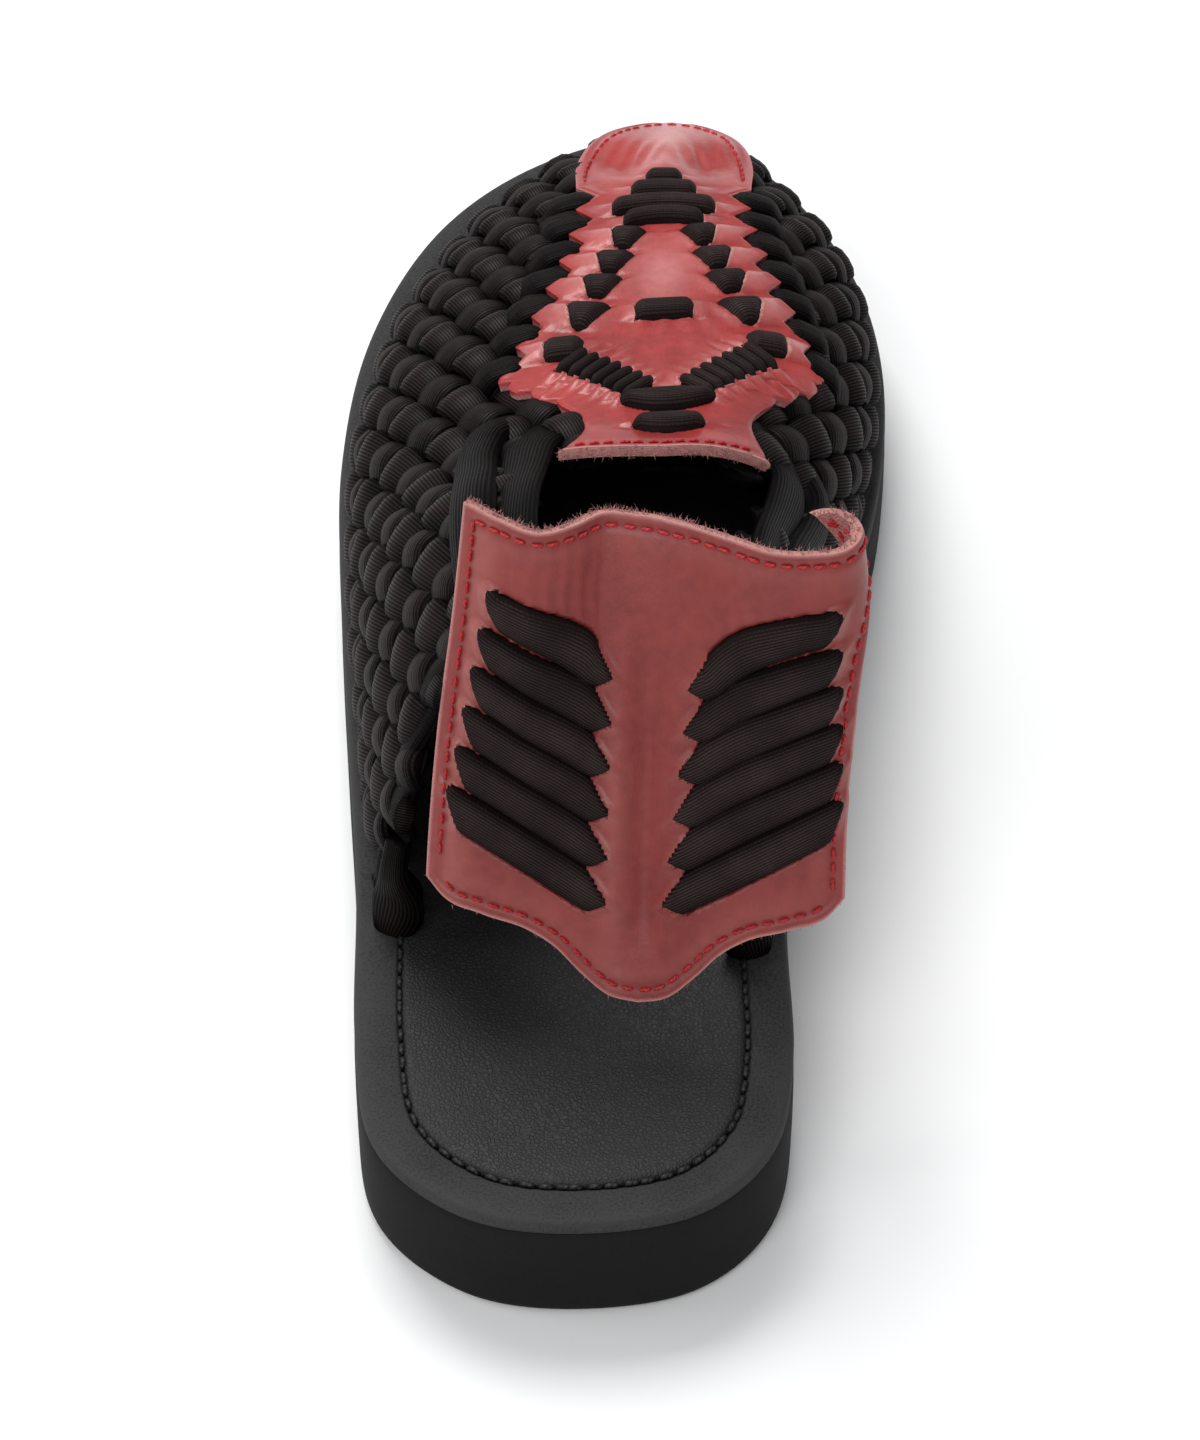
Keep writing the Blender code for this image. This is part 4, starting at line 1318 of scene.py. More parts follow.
def laced_relief(
    runs: list[CordRun], a: Array, b: Array, sink: float, spread: float
) -> tuple[Array, Array, Array]:
    """Heights of a sheet round its slits: swollen beside them, sunk under the cords.

    Args:
        runs: The cord runs over the sheet.
        a: First coordinate of each place.
        b: Second coordinate of each place.
        sink: Depth under a cord.
        spread: Width of a swelling.

    Returns:
        Height, share of raw cut edge, and share of painted shade along the slits and cords at each place.
    """
    height, raw = np.zeros(a.shape), np.zeros(a.shape)
    nearest = np.full(a.shape, 50.0)
    for run in runs:
        t, c = run.local(a, b)
        beyond = np.abs(t) - run.reach(t, c)
        beside = (np.abs(c) - 1.0) * run.width / 2.0
        roll = np.sqrt(np.clip(1.0 - (0.88 * c) ** 2, 0.0, 1.0)) * (beyond > -0.6)
        swell = np.where(t < 0.0, run.swell_start, run.swell_end)
        clear = np.clip(beyond, 0.0, None)
        length = spread * np.where(swell > 1.4, 1.6, 1.0)
        height = np.maximum(height, swell * roll * bell(clear, length))
        bared = np.clip(0.3 + 0.4 * swell, 0.0, 1.0)
        raw = np.maximum(raw, roll * bell(clear, 0.3 + 0.3 * swell) * bared)
        nearest = np.minimum(nearest, np.maximum(beyond, beside))
    under = ease((0.25 - nearest) / 0.5)
    # painted shade along the slits and beside the cords
    painted_crease_shade = bell(np.clip(nearest, 0.0, None), 0.9) * (1.0 - np.clip(raw, 0.0, 1.0))
    return height * (1.0 - under) - sink * under, np.clip(raw, 0.0, 1.0), painted_crease_shade


def stitches(parts: Parts, line: Array, normal: Array, pitch: float, length: float, radius: float,
             rng: np.random.Generator) -> None:
    """Add a row of stitches along a line.

    Args:
        parts: The piece that takes them.
        line: Places along the row.
        normal: Outward direction at each place.
        pitch: Length from stitch to stitch.
        length: Length of thread that shows.
        radius: Radius of the thread.
        rng: Source of their small unevenness.
    """
    run = run_length(line)
    first = np.arange(pitch / 2.0, run[-1] - pitch / 2.0, pitch)
    share = np.linspace(-1.0, 1.0, 7)
    for middle in first + rng.uniform(-0.12, 0.12, len(first)) * pitch:
        at = middle + share * length * rng.uniform(0.46, 0.54)
        centre = np.stack([np.interp(at, run, line[:, k]) for k in range(3)], axis=1)
        face = unit(np.stack([np.interp(at, run, normal[:, k]) for k in range(3)], axis=1))
        centre = centre + face * (radius * (0.9 - 1.5 * share**4))[:, None]
        thin = radius * np.sqrt(np.clip(1.02 - share**6, 0.02, 1.0))
        parts.cord(centre, face, thin, thin, ring=7, start=middle)


def fibres(parts: Parts, places: Array, out: Array, count: int, length: Spot,
           rng: np.random.Generator) -> None:
    """Add loose fibres standing off a raw edge.

    Args:
        parts: The piece that takes them.
        places: Places along the edge.
        out: Outward direction at each place.
        count: Number of fibres.
        length: Shortest and longest fibre.
        rng: Source of their places and lean.
    """
    pick = rng.integers(0, len(places), count)
    lean = unit(out[pick] + rng.normal(0.0, 0.55, (count, 3)))
    curl = rng.normal(0.0, 0.25, (count, 3))
    long = rng.uniform(*length, count)[:, None]
    root = places[pick] + rng.normal(0.0, 0.25, (count, 3))
    for k in range(count):
        share = np.linspace(0.0, 1.0, 4)[:, None]
        line = root[k] + lean[k] * long[k] * share + curl[k] * long[k] * share**2
        thin = 0.085 * (1.05 - share[:, 0])
        facing = np.broadcast_to(unit(np.cross(lean[k], (0.3, 0.5, 0.8))), line.shape)
        parts.cord(line, facing, thin, thin, ring=4)


@dataclass
class Soles:
    """Outsole, midsole and insole with its sewn edge."""

    form: SoleForm
    count: int = 150
    midsole_thick: float = 3.0
    layer_gap: float = 0.3
    pocket_inset: float = 8.0
    pocket_depth: float = 1.2
    insole_proud: float = 0.6
    wall_room: float = 3.4
    tread_round: float = 2.6
    groove_long: float = 150.0
    groove_wide: float = 4.0
    groove_deep: float = 2.5
    groove_pitch: float = 17.0
    heel_grooves: tuple[float, int] = (-118.0, 4)
    toe_grooves: tuple[float, int] = (14.0, 5)
    seam_inset: float = 8.25
    seam_low: float = 0.35
    stitch_pitch: float = 3.3
    stitch_long: float = 2.7
    thread_radius: float = 0.5

    def ring(self, inset: float, height: Callable[[Array], Array], deep: bool = False) -> Array:
        """Points once round the sole.

        Args:
            inset: Distance in from the edge.
            height: Gives the height at each y.
            deep: Whether the ring keeps clear of the plaited wall.

        Returns:
            The points.
        """
        flat = self.form.ring(self.count, inset, self.wall_room if deep else 0.0)
        return np.column_stack([flat, height(flat[:, 1])])

    def loft(self, rings: list[Array], values: dict[str, list[float]]) -> Parts:
        """A closed layer through rings.

        Args:
            rings: Points of each ring, from the bottom to the top.
            values: Surface values by name, one for each ring.

        Returns:
            The layer.
        """
        parts = Parts()
        points = np.stack(rings)
        index = parts.take(points, {key: np.array(row)[:, None] for key, row in values.items()})
        parts.quads(np.concatenate([index, index[:, :1]], axis=1))
        for layer in (index[0], index[-1]):
            for k in range(self.count):
                corners = [layer[k], layer[k + 1], layer[-k - 1], layer[-k]]
                parts.faces.append([int(c) for c in dict.fromkeys(corners)])
        return parts

    def outsole(self) -> None:
        """Black foam block with a rounded lower edge and grooves across its tread."""
        under = self.midsole_thick + self.layer_gap
        tread, bed = self.form.tread, self.form.bed
        # inset, height over the tread
        steps = ((self.tread_round, 0.0), (1.5, 0.3), (0.75, 0.8), (0.25, 1.6), (0.0, self.tread_round))
        rings = [self.ring(inset, lambda y, up=up: tread(y) + up) for inset, up in steps]
        # share of the wall's height, inset
        for share, inset in ((0.3, -0.12), (0.65, -0.12), (0.94, 0.0), (1.0, 0.35)):
            rings.append(self.ring(inset, lambda y, s=share: tread(y) + self.tread_round
                                   + (bed(y) - under - tread(y) - self.tread_round) * s))
        rub = [0.3, 0.9, 0.7, 0.4, 0.2, 0.1, 0.1, 0.3, 0.2]
        # painted shade at the top ring, in the gap under the midsole
        item = self.loft(rings, {"rub": rub, "seam": [0.0] * 8 + [0.8]}).piece(
            "outsole_block", OUTSOLE_FOAM.material(), Slot.OUTSOLE, "outsole", sharp=40.0)
        for first, count in (self.heel_grooves, self.toe_grooves):
            for k in range(count):
                self.groove(item, first + k * self.groove_pitch)

    def groove(self, item: bpy.types.Object, y: float) -> None:
        """Cut one groove across the tread.

        Args:
            item: The outsole.
            y: Middle of the groove.
        """
        form = bmesh.new()
        bmesh.ops.create_cube(form, size=1.0)
        size = np.array((self.groove_long, self.groove_wide, 2 * self.groove_deep)) * MM
        bmesh.ops.scale(form, vec=size, verts=form.verts)
        bmesh.ops.translate(form, vec=(np.array((0.0, y, 0.0)) + Parts.shift) * MM, verts=form.verts)
        cutter = stand("groove", mesh_of("groove", form))
        cut = item.modifiers.new("groove", "BOOLEAN")
        cut.operation = "DIFFERENCE"
        cut.object = cutter
        with bpy.context.temp_override(object=item, active_object=item):
            bpy.ops.object.modifier_apply(modifier=cut.name)
        bpy.data.objects.remove(cutter, do_unlink=True)

    def midsole(self) -> None:
        """Charcoal foam sheet with a soft edge and a pocket for the insole."""
        bed = self.form.bed
        # inset, height over the bed, share of painted shade in the seam
        steps = (
            (0.35, -3.0, 1.0), (0.0, -2.75, 0.5), (0.0, -2.2, 0.0), (0.0, -1.2, 0.0),
            (0.18, -0.55, 0.0), (0.5, -0.18, 0.0), (1.1, 0.0, 0.0), (4.0, 0.0, 0.0),
        )
        rings = [self.ring(inset, lambda y, up=up: bed(y) + up) for inset, up, _ in steps]
        rings.append(self.ring(self.pocket_inset - 0.7, bed, True))
        rings.append(self.ring(self.pocket_inset - 0.1, lambda y: bed(y) - 0.35, True))
        rings.append(self.ring(self.pocket_inset, lambda y: bed(y) - self.pocket_depth, True))
        # painted highlight on the rounded top edge
        rub = [0.0, 0.3, 0.4, 0.5, 1.0, 1.0, 0.6, 0.3, 0.3, 0.2, 0.0]
        # painted shade in the gap over the outsole and round the insole's pocket
        seam = [step[2] for step in steps] + [0.0, 0.5, 1.0]
        self.loft(rings, {"rub": rub, "seam": seam}).piece(
            "midsole_sheet", MIDSOLE_FOAM.material(), Slot.MIDSOLE, "midsole", sharp=60.0)

    def insole(self) -> None:
        """Dished leather sock, pressed down along its sewn edge."""
        bed = self.form.bed
        proud = self.insole_proud
        # inset, height over the bed, share of painted highlight
        steps = (
            (8.5, -0.9, 0.0), (8.5, proud - 1.0, 0.0), (8.7, proud - 0.45, 0.0), (9.1, proud - 0.15, 0.1),
            (9.8, proud, 0.4), (10.6, proud - 0.05, 0.7), (12.5, proud - 0.1, 0.8),
            (15.0, proud - 0.3, 0.6), (18.0, proud - 0.55, 0.4), (22.0, proud - 0.7, 0.3),
        )
        rings = [self.ring(inset, lambda y, up=up: bed(y) + up, True) for inset, up, _ in steps]
        self.loft(rings, {"rub": [step[2] for step in steps]}).piece(
            "insole_sock", InsoleFinish().material(), Slot.INSOLE, "insole")

    def seam(self, rng: np.random.Generator) -> None:
        """Black running stitches in the gap round the insole.

        Args:
            rng: Source of the small unevenness.
        """
        line = self.ring(self.seam_inset, lambda y: self.form.bed(y) - self.seam_low, True)
        line = np.concatenate([line, line[:3]])
        line = smooth_line(tuple(map(tuple, line)), 900)
        line[:, :2] += rng.normal(0.0, 0.05, (len(line), 2))
        parts = Parts()
        up = np.broadcast_to((0.0, 0.0, 1.0), line.shape)
        stitches(parts, line, up, self.stitch_pitch, self.stitch_long, self.thread_radius, rng)
        parts.piece("insole_seam", BLACK_THREAD.material(), Slot.INSOLE)

    def build(self, rng: np.random.Generator) -> None:
        """Make every layer of the sole.

        Args:
            rng: Source of the small unevenness.
        """
        self.outsole()
        self.midsole()
        self.insole()
        self.seam(rng)


@dataclass
class PlaitedWall:
    """Flat cords plaited over and under each other up both sides of the shoe."""

    last: Last
    vamp: VampForm
    finish: bpy.types.Material
    collar_finish: bpy.types.Material
    pitch: float = 8.3
    half_thick: float = 1.6
    seat: float = -1.3
    swing: float = 1.85
    proud: float = 0.08
    vamp_seat: float = -1.9
    vamp_swing: float = 0.45
    below: float = 2.6
    lap: float = 3.0
    collar_reach: float = 27.0
    throat: float = 5.0
    front: float = 136.0
    girth_share: float = 0.62
    longest: float = 420.0
    steps: int = 9
    edge_wide: float = 3.3
    edge_turn: float = 30.0

    def spacing(self, y: Array) -> Array:
        """Length along the shoe from cell to cell, closer towards the toe."""
        return np.interp(y, (-60.0, 0.0, 40.0, 80.0, 135.0), (16.5, 15.5, 13.0, 11.0, 9.5))

    def rear(self, share: Array, side: Side) -> Array:
        """The y at which the wall ends towards the heel."""
        index = 1 if side is Side.OUTER else 2
        return np.interp(np.abs(share), column(WALL_REAR, 0), column(WALL_REAR, index))

    def inside(self, share: Array, y: Array, side: Side) -> Array:
        """Where the wall stands: ahead of its rear edge, clear of the collar.

        Args:
            share: First coordinate on the last.
            y: Second coordinate on the last.
            side: The wall's side.

        Returns:
            Whether each place is in the wall.
        """
        away = np.abs(share)
        collar = (y < self.throat) & (away * self.last.half(share, y) < self.collar_reach)
        low = 1.0 + self.below / self.last.half(share, y)
        ahead = (y >= self.rear(share, side)) & (y <= self.front)
        return ahead & ~collar & (away <= low) & (share * side.value >= 0)

    def strand(self, parts: Parts, share: Array, y: Array, phase: Array, ends: Array,
               rng: np.random.Generator) -> None:
        """Add one strand of the plait.

        Args:
            parts: The piece that takes it.
            share: Share coordinate on the last at each place.
            y: Edge coordinate on the last at each place.
            phase: 1 where the strand lies over, -1 where it lies under.
            ends: Share of a hidden end at each place.
            rng: Source of its small unevenness.
        """
        cover = self.vamp.cover(share, y)
        bare = self.seat + self.swing * phase
        offset = (1.0 - cover) * bare + cover * (self.vamp_seat + self.vamp_swing * phase)
        offset = offset + rng.uniform(-0.2, 0.2) - 1.3 * ends
        high, long = self.pitch * math.sqrt(2.0), self.spacing(y)
        wide = 0.5 * high * long / np.hypot(high, long)
        wide = wide * rng.uniform(0.93, 1.03) * (0.95 + 0.08 * phase - 0.3 * ends)
        thick = self.half_thick * (1.0 + 0.1 * phase) * (1.0 - 0.3 * cover)
        centre = self.last.lifted(share, y, offset)
        normal = self.last.normal(share, y)
        # crown lightens the cord's colour where it lies over (painted highlight) and darkens it where it
        # lies under or its end is hidden (painted shade)
        parts.cord(centre, normal, wide, thick, start=rng.uniform(0.0, 50.0), crown=phase - ends)

    def side(self, side: Side, rng: np.random.Generator) -> None:
        """Plait one side of the shoe.

        Args:
            side: The side.
            rng: Source of the small unevenness.
        """
        sign = side.value
        y_axis = self.last.second
        girth = run_length(self.last.at(sign * self.girth_share, y_axis))
        stretch = self.pitch * math.sqrt(2.0) / self.spacing((y_axis[1:] + y_axis[:-1]) / 2.0)
        girth = np.concatenate([[0.0], np.cumsum(np.diff(girth) * stretch)])
        half = self.last.halves[side]
        reach = int(self.longest / self.pitch)
        t = np.arange(-reach * self.steps, reach * self.steps + 1) / self.steps
        parts = Parts()
        for family in (1.0, -1.0):
            for number in range(-reach, reach + 1):
                p, q = (number, t) if family > 0 else (t, number)
                length = (p + q) * self.pitch / math.sqrt(2.0)
                high = (p - q) * self.pitch / math.sqrt(2.0)
                length, high = np.broadcast_arrays(length, high)
                y = np.interp(length, girth, y_axis)
                share = sign * (1.0 - high / np.interp(y, y_axis, half))
                beyond = (length < girth[0]) | (length > girth[-1])
                mask = self.inside(share, y, side) & ~beyond
                edges = np.flatnonzero(np.diff(np.concatenate([[0], mask.astype(int), [0]])))
                for first, stop in edges.reshape(-1, 2):
                    if stop - first < self.steps:
                        continue
                    lap = round(self.lap / self.pitch * self.steps)
                    pick = slice(max(first - lap, 0), min(stop + lap, len(t)))
                    run = np.arange(pick.start, pick.stop)
                    ends = ease(np.maximum(first + lap - run, run - stop + 1 + lap) / (2.0 * lap))
                    phase = family * np.cos(math.pi * (t[pick] - number))
                    self.strand(parts, share[pick], y[pick], phase + family * self.proud, ends, rng)
        parts.piece(f"weave_{side.word}", self.finish, Slot.CORD, "upper_weave")

    def edging(self, side: Side, rng: np.random.Generator) -> None:
        """Two cords twisted round each other down the wall's rear edge.

        Args:
            side: The wall's side.
            rng: Source of the small unevenness.
        """
        sign = side.value
        parts = Parts()
        share = np.linspace(0.18, 0.86, 90)
        y = self.rear(share, side) + 2.2 + 2.5 * ease((share - 0.6) / 0.26)
        y = np.convolve(np.pad(y, 8, mode="edge"), np.ones(17) / 17.0, mode="valid")
        run = run_length(self.last.at(sign * share, y))
        for turn in (0.0, math.pi):
            wave = run * 2.0 * math.pi / self.edge_turn + turn
            offset = self.seat + 1.1 * np.cos(wave)
            centre = self.last.lifted(sign * share, y + 1.7 * np.sin(wave), offset)
            wide = self.edge_wide - 1.5 * ease((share - 0.66) / 0.2)
            normal = self.last.normal(sign * share, y)
            parts.cord(centre, normal, wide, wide * 0.5, start=rng.uniform(0.0, 9.0))
        parts.piece(f"wall_edge_{side.word}", self.finish, Slot.CORD)

    def collar(self, rng: np.random.Generator) -> None:
        """Thick strands from the vamp's neck back along the collar, behind the strap.

        Args:
            rng: Source of the small unevenness.
        """
        for side in Side:
            parts = Parts()
            routes = [route for word, route in COLLAR_ROUTES if word == side.word]
            for layer, route in enumerate(routes):
                line = smooth_line(route, 70)
                along = np.linspace(0.0, 1.0, len(line))
                tuck = (2.2 + 2.6 * layer) * ease((0.34 - along) / 0.22)
                offset = 0.4 + 1.0 * layer + 0.5 * np.sin(9.0 * along + layer) - tuck
                centre = self.last.by_arc(line[:, 0], line[:, 1], offset)
                share = line[:, 0] / self.last.half(line[:, 0], line[:, 1])
                wide = 4.6 - 0.8 * ease((0.15 - along) / 0.15) + 0.5 * np.sin(7.0 * along + 2.0 * layer)
                thick = np.full(len(line), 1.9 + 1.2 * layer)
                parts.cord(centre, self.last.normal(share, line[:, 1]), wide, thick, ring=16,
                           start=rng.uniform(0.0, 9.0))
            parts.piece(f"collar_strands_{side.word}", self.collar_finish, Slot.CORD)

    def notches(self, rng: np.random.Generator) -> None:
        """Short strands that run from the plait into the notches of the vamp's edge.

        Args:
            rng: Source of the small unevenness.
        """
        vamp = self.vamp
        rows = np.arange(vamp.tooth_first + vamp.tooth_pitch / 2.0, vamp.tooth_last, vamp.tooth_pitch)
        reach = np.linspace(-2.0, 12.0, 20)
        drop = 0.225 * np.clip(reach, 0.0, None)
        offset = -1.8 + 3.4 * ease((reach + 1.5) / 4.6) - 3.4 * ease((reach - 7.0) / 5.0)
        thick = np.full(len(reach), 1.75)
        for side in Side:
            parts = Parts()
            for row in rows:
                across = side.value * (vamp.half(np.array(row)) + reach)
                centre = vamp.place(across, row - drop, offset)
                above = vamp.place(across, row - drop, offset + 1.0)
                wide = 3.1 + 1.0 * ease((reach + 1.0) / 5.0) * rng.uniform(0.8, 1.2)
                parts.cord(centre, above - centre, wide, thick, ring=14, start=rng.uniform(0.0, 9.0))
            parts.piece(f"notch_strands_{side.word}", self.finish, Slot.CORD)

    def build(self, rng: np.random.Generator) -> None:
        """Make every strand of the upper.

        Args:
            rng: Source of the small unevenness.
        """
        for side in Side:
            self.side(side, rng)
            self.edging(side, rng)
        self.collar(rng)
        self.notches(rng)


@dataclass
class Vamp:
    """Red leather laid over the forefoot, laced with cord through slits."""

    form: VampForm
    cord: bpy.types.Material
    rows: int = 300
    columns: int = 92
    seam_inset: float = 2.2
    sink: float = 1.3
    spread: float = 2.7
    chevron_half: Spot = (1.8, 2.0)
    chevron_wide: float = 2.75
    stitch_pitch: float = 2.7
    stitch_long: float = 2.1
    thread_radius: float = 0.32
    tab_half: float = 17.5

    def runs(self) -> dict[str, list[CordRun]]:
        """The cord runs that lace the vamp.

        Returns:
            Runs by the solid that they stand for.
        """
        found: dict[str, list[CordRun]] = {}
        for side in Side:
            for name, in_a, in_b, out_a, out_b, width, cut in VAMP_SIDE_RUNS:
                node = f"vamp_bar_{name}_{side.word}"
                ends = ((side.value * in_a, in_b), (side.value * out_a, out_b))
                found[node] = [CordRun(node, *ends, width, cut=cut, swell_start=0.6, swell_end=1.7)]
            for name, first, last, count in VAMP_CHEVRON_RUNS:
                node = f"vamp_bar_{name}_{side.word}"
                found[node] = []
                for share in np.linspace(0.0, 1.0, count):
                    across, row = np.array(first) + (np.array(last) - np.array(first)) * share
                    reach, rise = self.chevron_half
                    start = (side.value * (across - reach), row + rise)
                    end = (side.value * (across + reach), row - rise)
                    found[node].append(CordRun(
                        node, start, end, self.chevron_wide, point_start=1.5, point_end=1.8,
                        swell_start=0.9, swell_end=1.0, crown=1.9,
                    ))
        for name, half, row, width, bow in VAMP_CROSS_RUNS:
            node = f"vamp_bar_{name}"
            lens = name.startswith("lens")
            found[node] = [CordRun(node, (-half, row), (half, row), width, bow=bow, lens=lens,
                                   swell_start=1.0, swell_end=1.0)]
        return found

    def folds(self, a: Array, b: Array) -> tuple[Array, Array]:
        """The leather's main creases: height, and share of painted sheen.

        Args:
            a: Across from the ridge.
            b: Row along the vamp.

        Returns:
            Height and share of painted sheen at each place.
        """
        tab = ease((b - 109.0) / 6.0)
        ridge = 0.8 * bell(a, 4.2) * tab * ease((137.0 - b) / 14.0)
        away, down = np.abs(a), (b - 117.0) * 0.8
        brim = 0.9 * bell(np.hypot(away - 11.0, b - 131.0), 6.5)
        dimples = -1.5 * (bell(np.hypot(a - 8.0, down), 4.6) + bell(np.hypot(a + 8.0, down), 4.6))
        rolls = 0.22 * np.sin(away * 1.9 + (b - 112.0) * 0.5) * bell(np.hypot(away - 6.0, b - 122.0), 6.0)
        island = 0.7 * bell(a, 6.0) * bell(b - 63.0, 10.0)
        fan = np.arctan2(a, b - 66.0 + 1e-6)
        pleat = 0.16 * np.cos(fan * 26.0) * bell(np.hypot(a, b - 42.0) - 8.0, 5.0)
        fringe = 0.2 * np.cos((b + away) * 1.5) * bell(away + b * 0.95 - 49.0, 4.0) * (b < 42.0)
        # painted highlight down the tab's ridge, over the island and in a short streak near row 26
        painted_sheen = 0.85 * bell(a, 4.5) * tab + 1.1 * bell(a, 5.0) * bell(b - 67.0, 11.0)
        painted_sheen = painted_sheen + 0.9 * bell(np.hypot(a * 0.35, b - 26.2), 1.6)
        return ridge + brim + dimples + rolls + island + pleat + fringe, np.clip(painted_sheen, 0.0, 1.0)

    def leather(self) -> None:
        """The sheet with its teeth, slits, swellings and raw edges."""
        form = self.form
        row = np.linspace(form.rear, form.front, self.rows + 1)
        u = np.linspace(-1.0, 1.0, self.columns + 1)
        half = form.half(row)
        a = u[None, :] * half[:, None]
        b = np.broadcast_to(row[:, None], a.shape)
        runs = [run for group in self.runs().values() for run in group]
        height, raw, painted_crease_shade = laced_relief(runs, a, b, self.sink, self.spread)
        fold, painted_sheen = self.folds(a, b)
        inside = (1.0 - np.abs(u))[None, :] * half[:, None]
        rim = bell(inside, 0.55)
        rear = bell(b - form.rear, 0.6)
        seam = bell(inside - self.seam_inset, 0.8) * ease((b - 108.0) / 4.0)
        seam = seam + bell(b - form.rear - self.seam_inset, 0.8)
        curl = 0.35 * bell(inside, 2.0) * (b > form.tooth_first) * (b < form.tooth_last)
        face = form.place(a, b, form.top + height + fold - 0.28 * seam + curl - 0.35 * rim)
        back = form.place(a, b, form.seat)
        on_face = {
            "raw": np.clip(raw + 0.55 * rim * (b > 100.0) + rear, 0.0, 1.0),
            # painted shade also along the sewn groove
            "painted_crease_shade": np.clip(painted_crease_shade + 0.6 * seam, 0.0, 1.0),
            "flesh": np.zeros(a.shape),
            # painted highlight also over the swellings beside the slits
            "painted_sheen": np.clip(painted_sheen + 0.55 * height, 0.0, 1.0),
            "wide": a,
            "high": b,
        }
        on_back = {"raw": np.zeros(a.shape), "flesh": np.ones(a.shape)}
        parts = Parts()
        parts.shell(face, back, on_face, on_back)
        parts.piece("vamp_leather", RED.material(), Slot.VAMP, "vamp", sharp=62.0)

    def lacing(self) -> None:
        """The cords that show between the slits."""
        for node, group in self.runs().items():
            parts = Parts()
            for run in group:
                run.build(parts, self.form.place, self.form.top)
            parts.piece(node.replace("bar", "cord"), self.cord, Slot.CORD, node)

    def sewing(self, thread: bpy.types.Material, rng: np.random.Generator) -> None:
        """Stitches round the toe tab and along the rear edge.

        Args:
            thread: Material of the stitches.
            rng: Source of the small unevenness.
        """
        form = self.form
        parts = Parts()
        turn = np.radians(np.linspace(-97.0, 97.0, 220))
        long = form.front - form.tab_centre - self.seam_inset
        wide = self.tab_half - self.seam_inset
        tab = np.stack([wide * np.sin(turn), form.tab_centre + long * np.cos(turn)], axis=1)
        width = float(form.half(np.array(form.rear + self.seam_inset))) - 1.5
        across = np.linspace(-width, width, 120)
        rear = np.stack([across, np.full(len(across), form.rear + self.seam_inset)], axis=1)
        for line in (tab, rear):
            fold, _ = self.folds(line[:, 0], line[:, 1])
            low = form.place(line[:, 0], line[:, 1], form.top + fold - 0.25)
            high = form.place(line[:, 0], line[:, 1], form.top + fold + 0.75)
            stitches(parts, low, high - low, self.stitch_pitch, self.stitch_long, self.thread_radius, rng)
        parts.piece("vamp_stitches", thread, Slot.VAMP)

    def nap(self, fur: bpy.types.Material, rng: np.random.Generator) -> None:
        """Loose fibres along the raw rear edge.

        Args:
            fur: Material of the fibres.
            rng: Source of their places and lean.
        """
        form = self.form
        width = float(form.half(np.array(form.rear)))
        across = np.linspace(-width, width, 200)
        depth = rng.uniform(form.seat, form.top, len(across))
        row = np.full(len(across), form.rear)
        places = form.place(across, row, depth)
        out = unit(places - form.place(across, row + 2.0, depth))
        parts = Parts()
        fibres(parts, places, out, 420, (0.4, 1.1), rng)
        parts.piece("vamp_raw_fibres", fur, Slot.VAMP)

    def build(self, thread: bpy.types.Material, fur: bpy.types.Material, rng: np.random.Generator) -> None:
        """Make the leather, its cords, its stitches and its raw edge.

        Args:
            thread: Material of the stitches.
            fur: Material of the loose fibres.
            rng: Source of the small unevenness.
        """
        self.leather()
        self.lacing()
        self.sewing(thread, rng)
        self.nap(fur, rng)


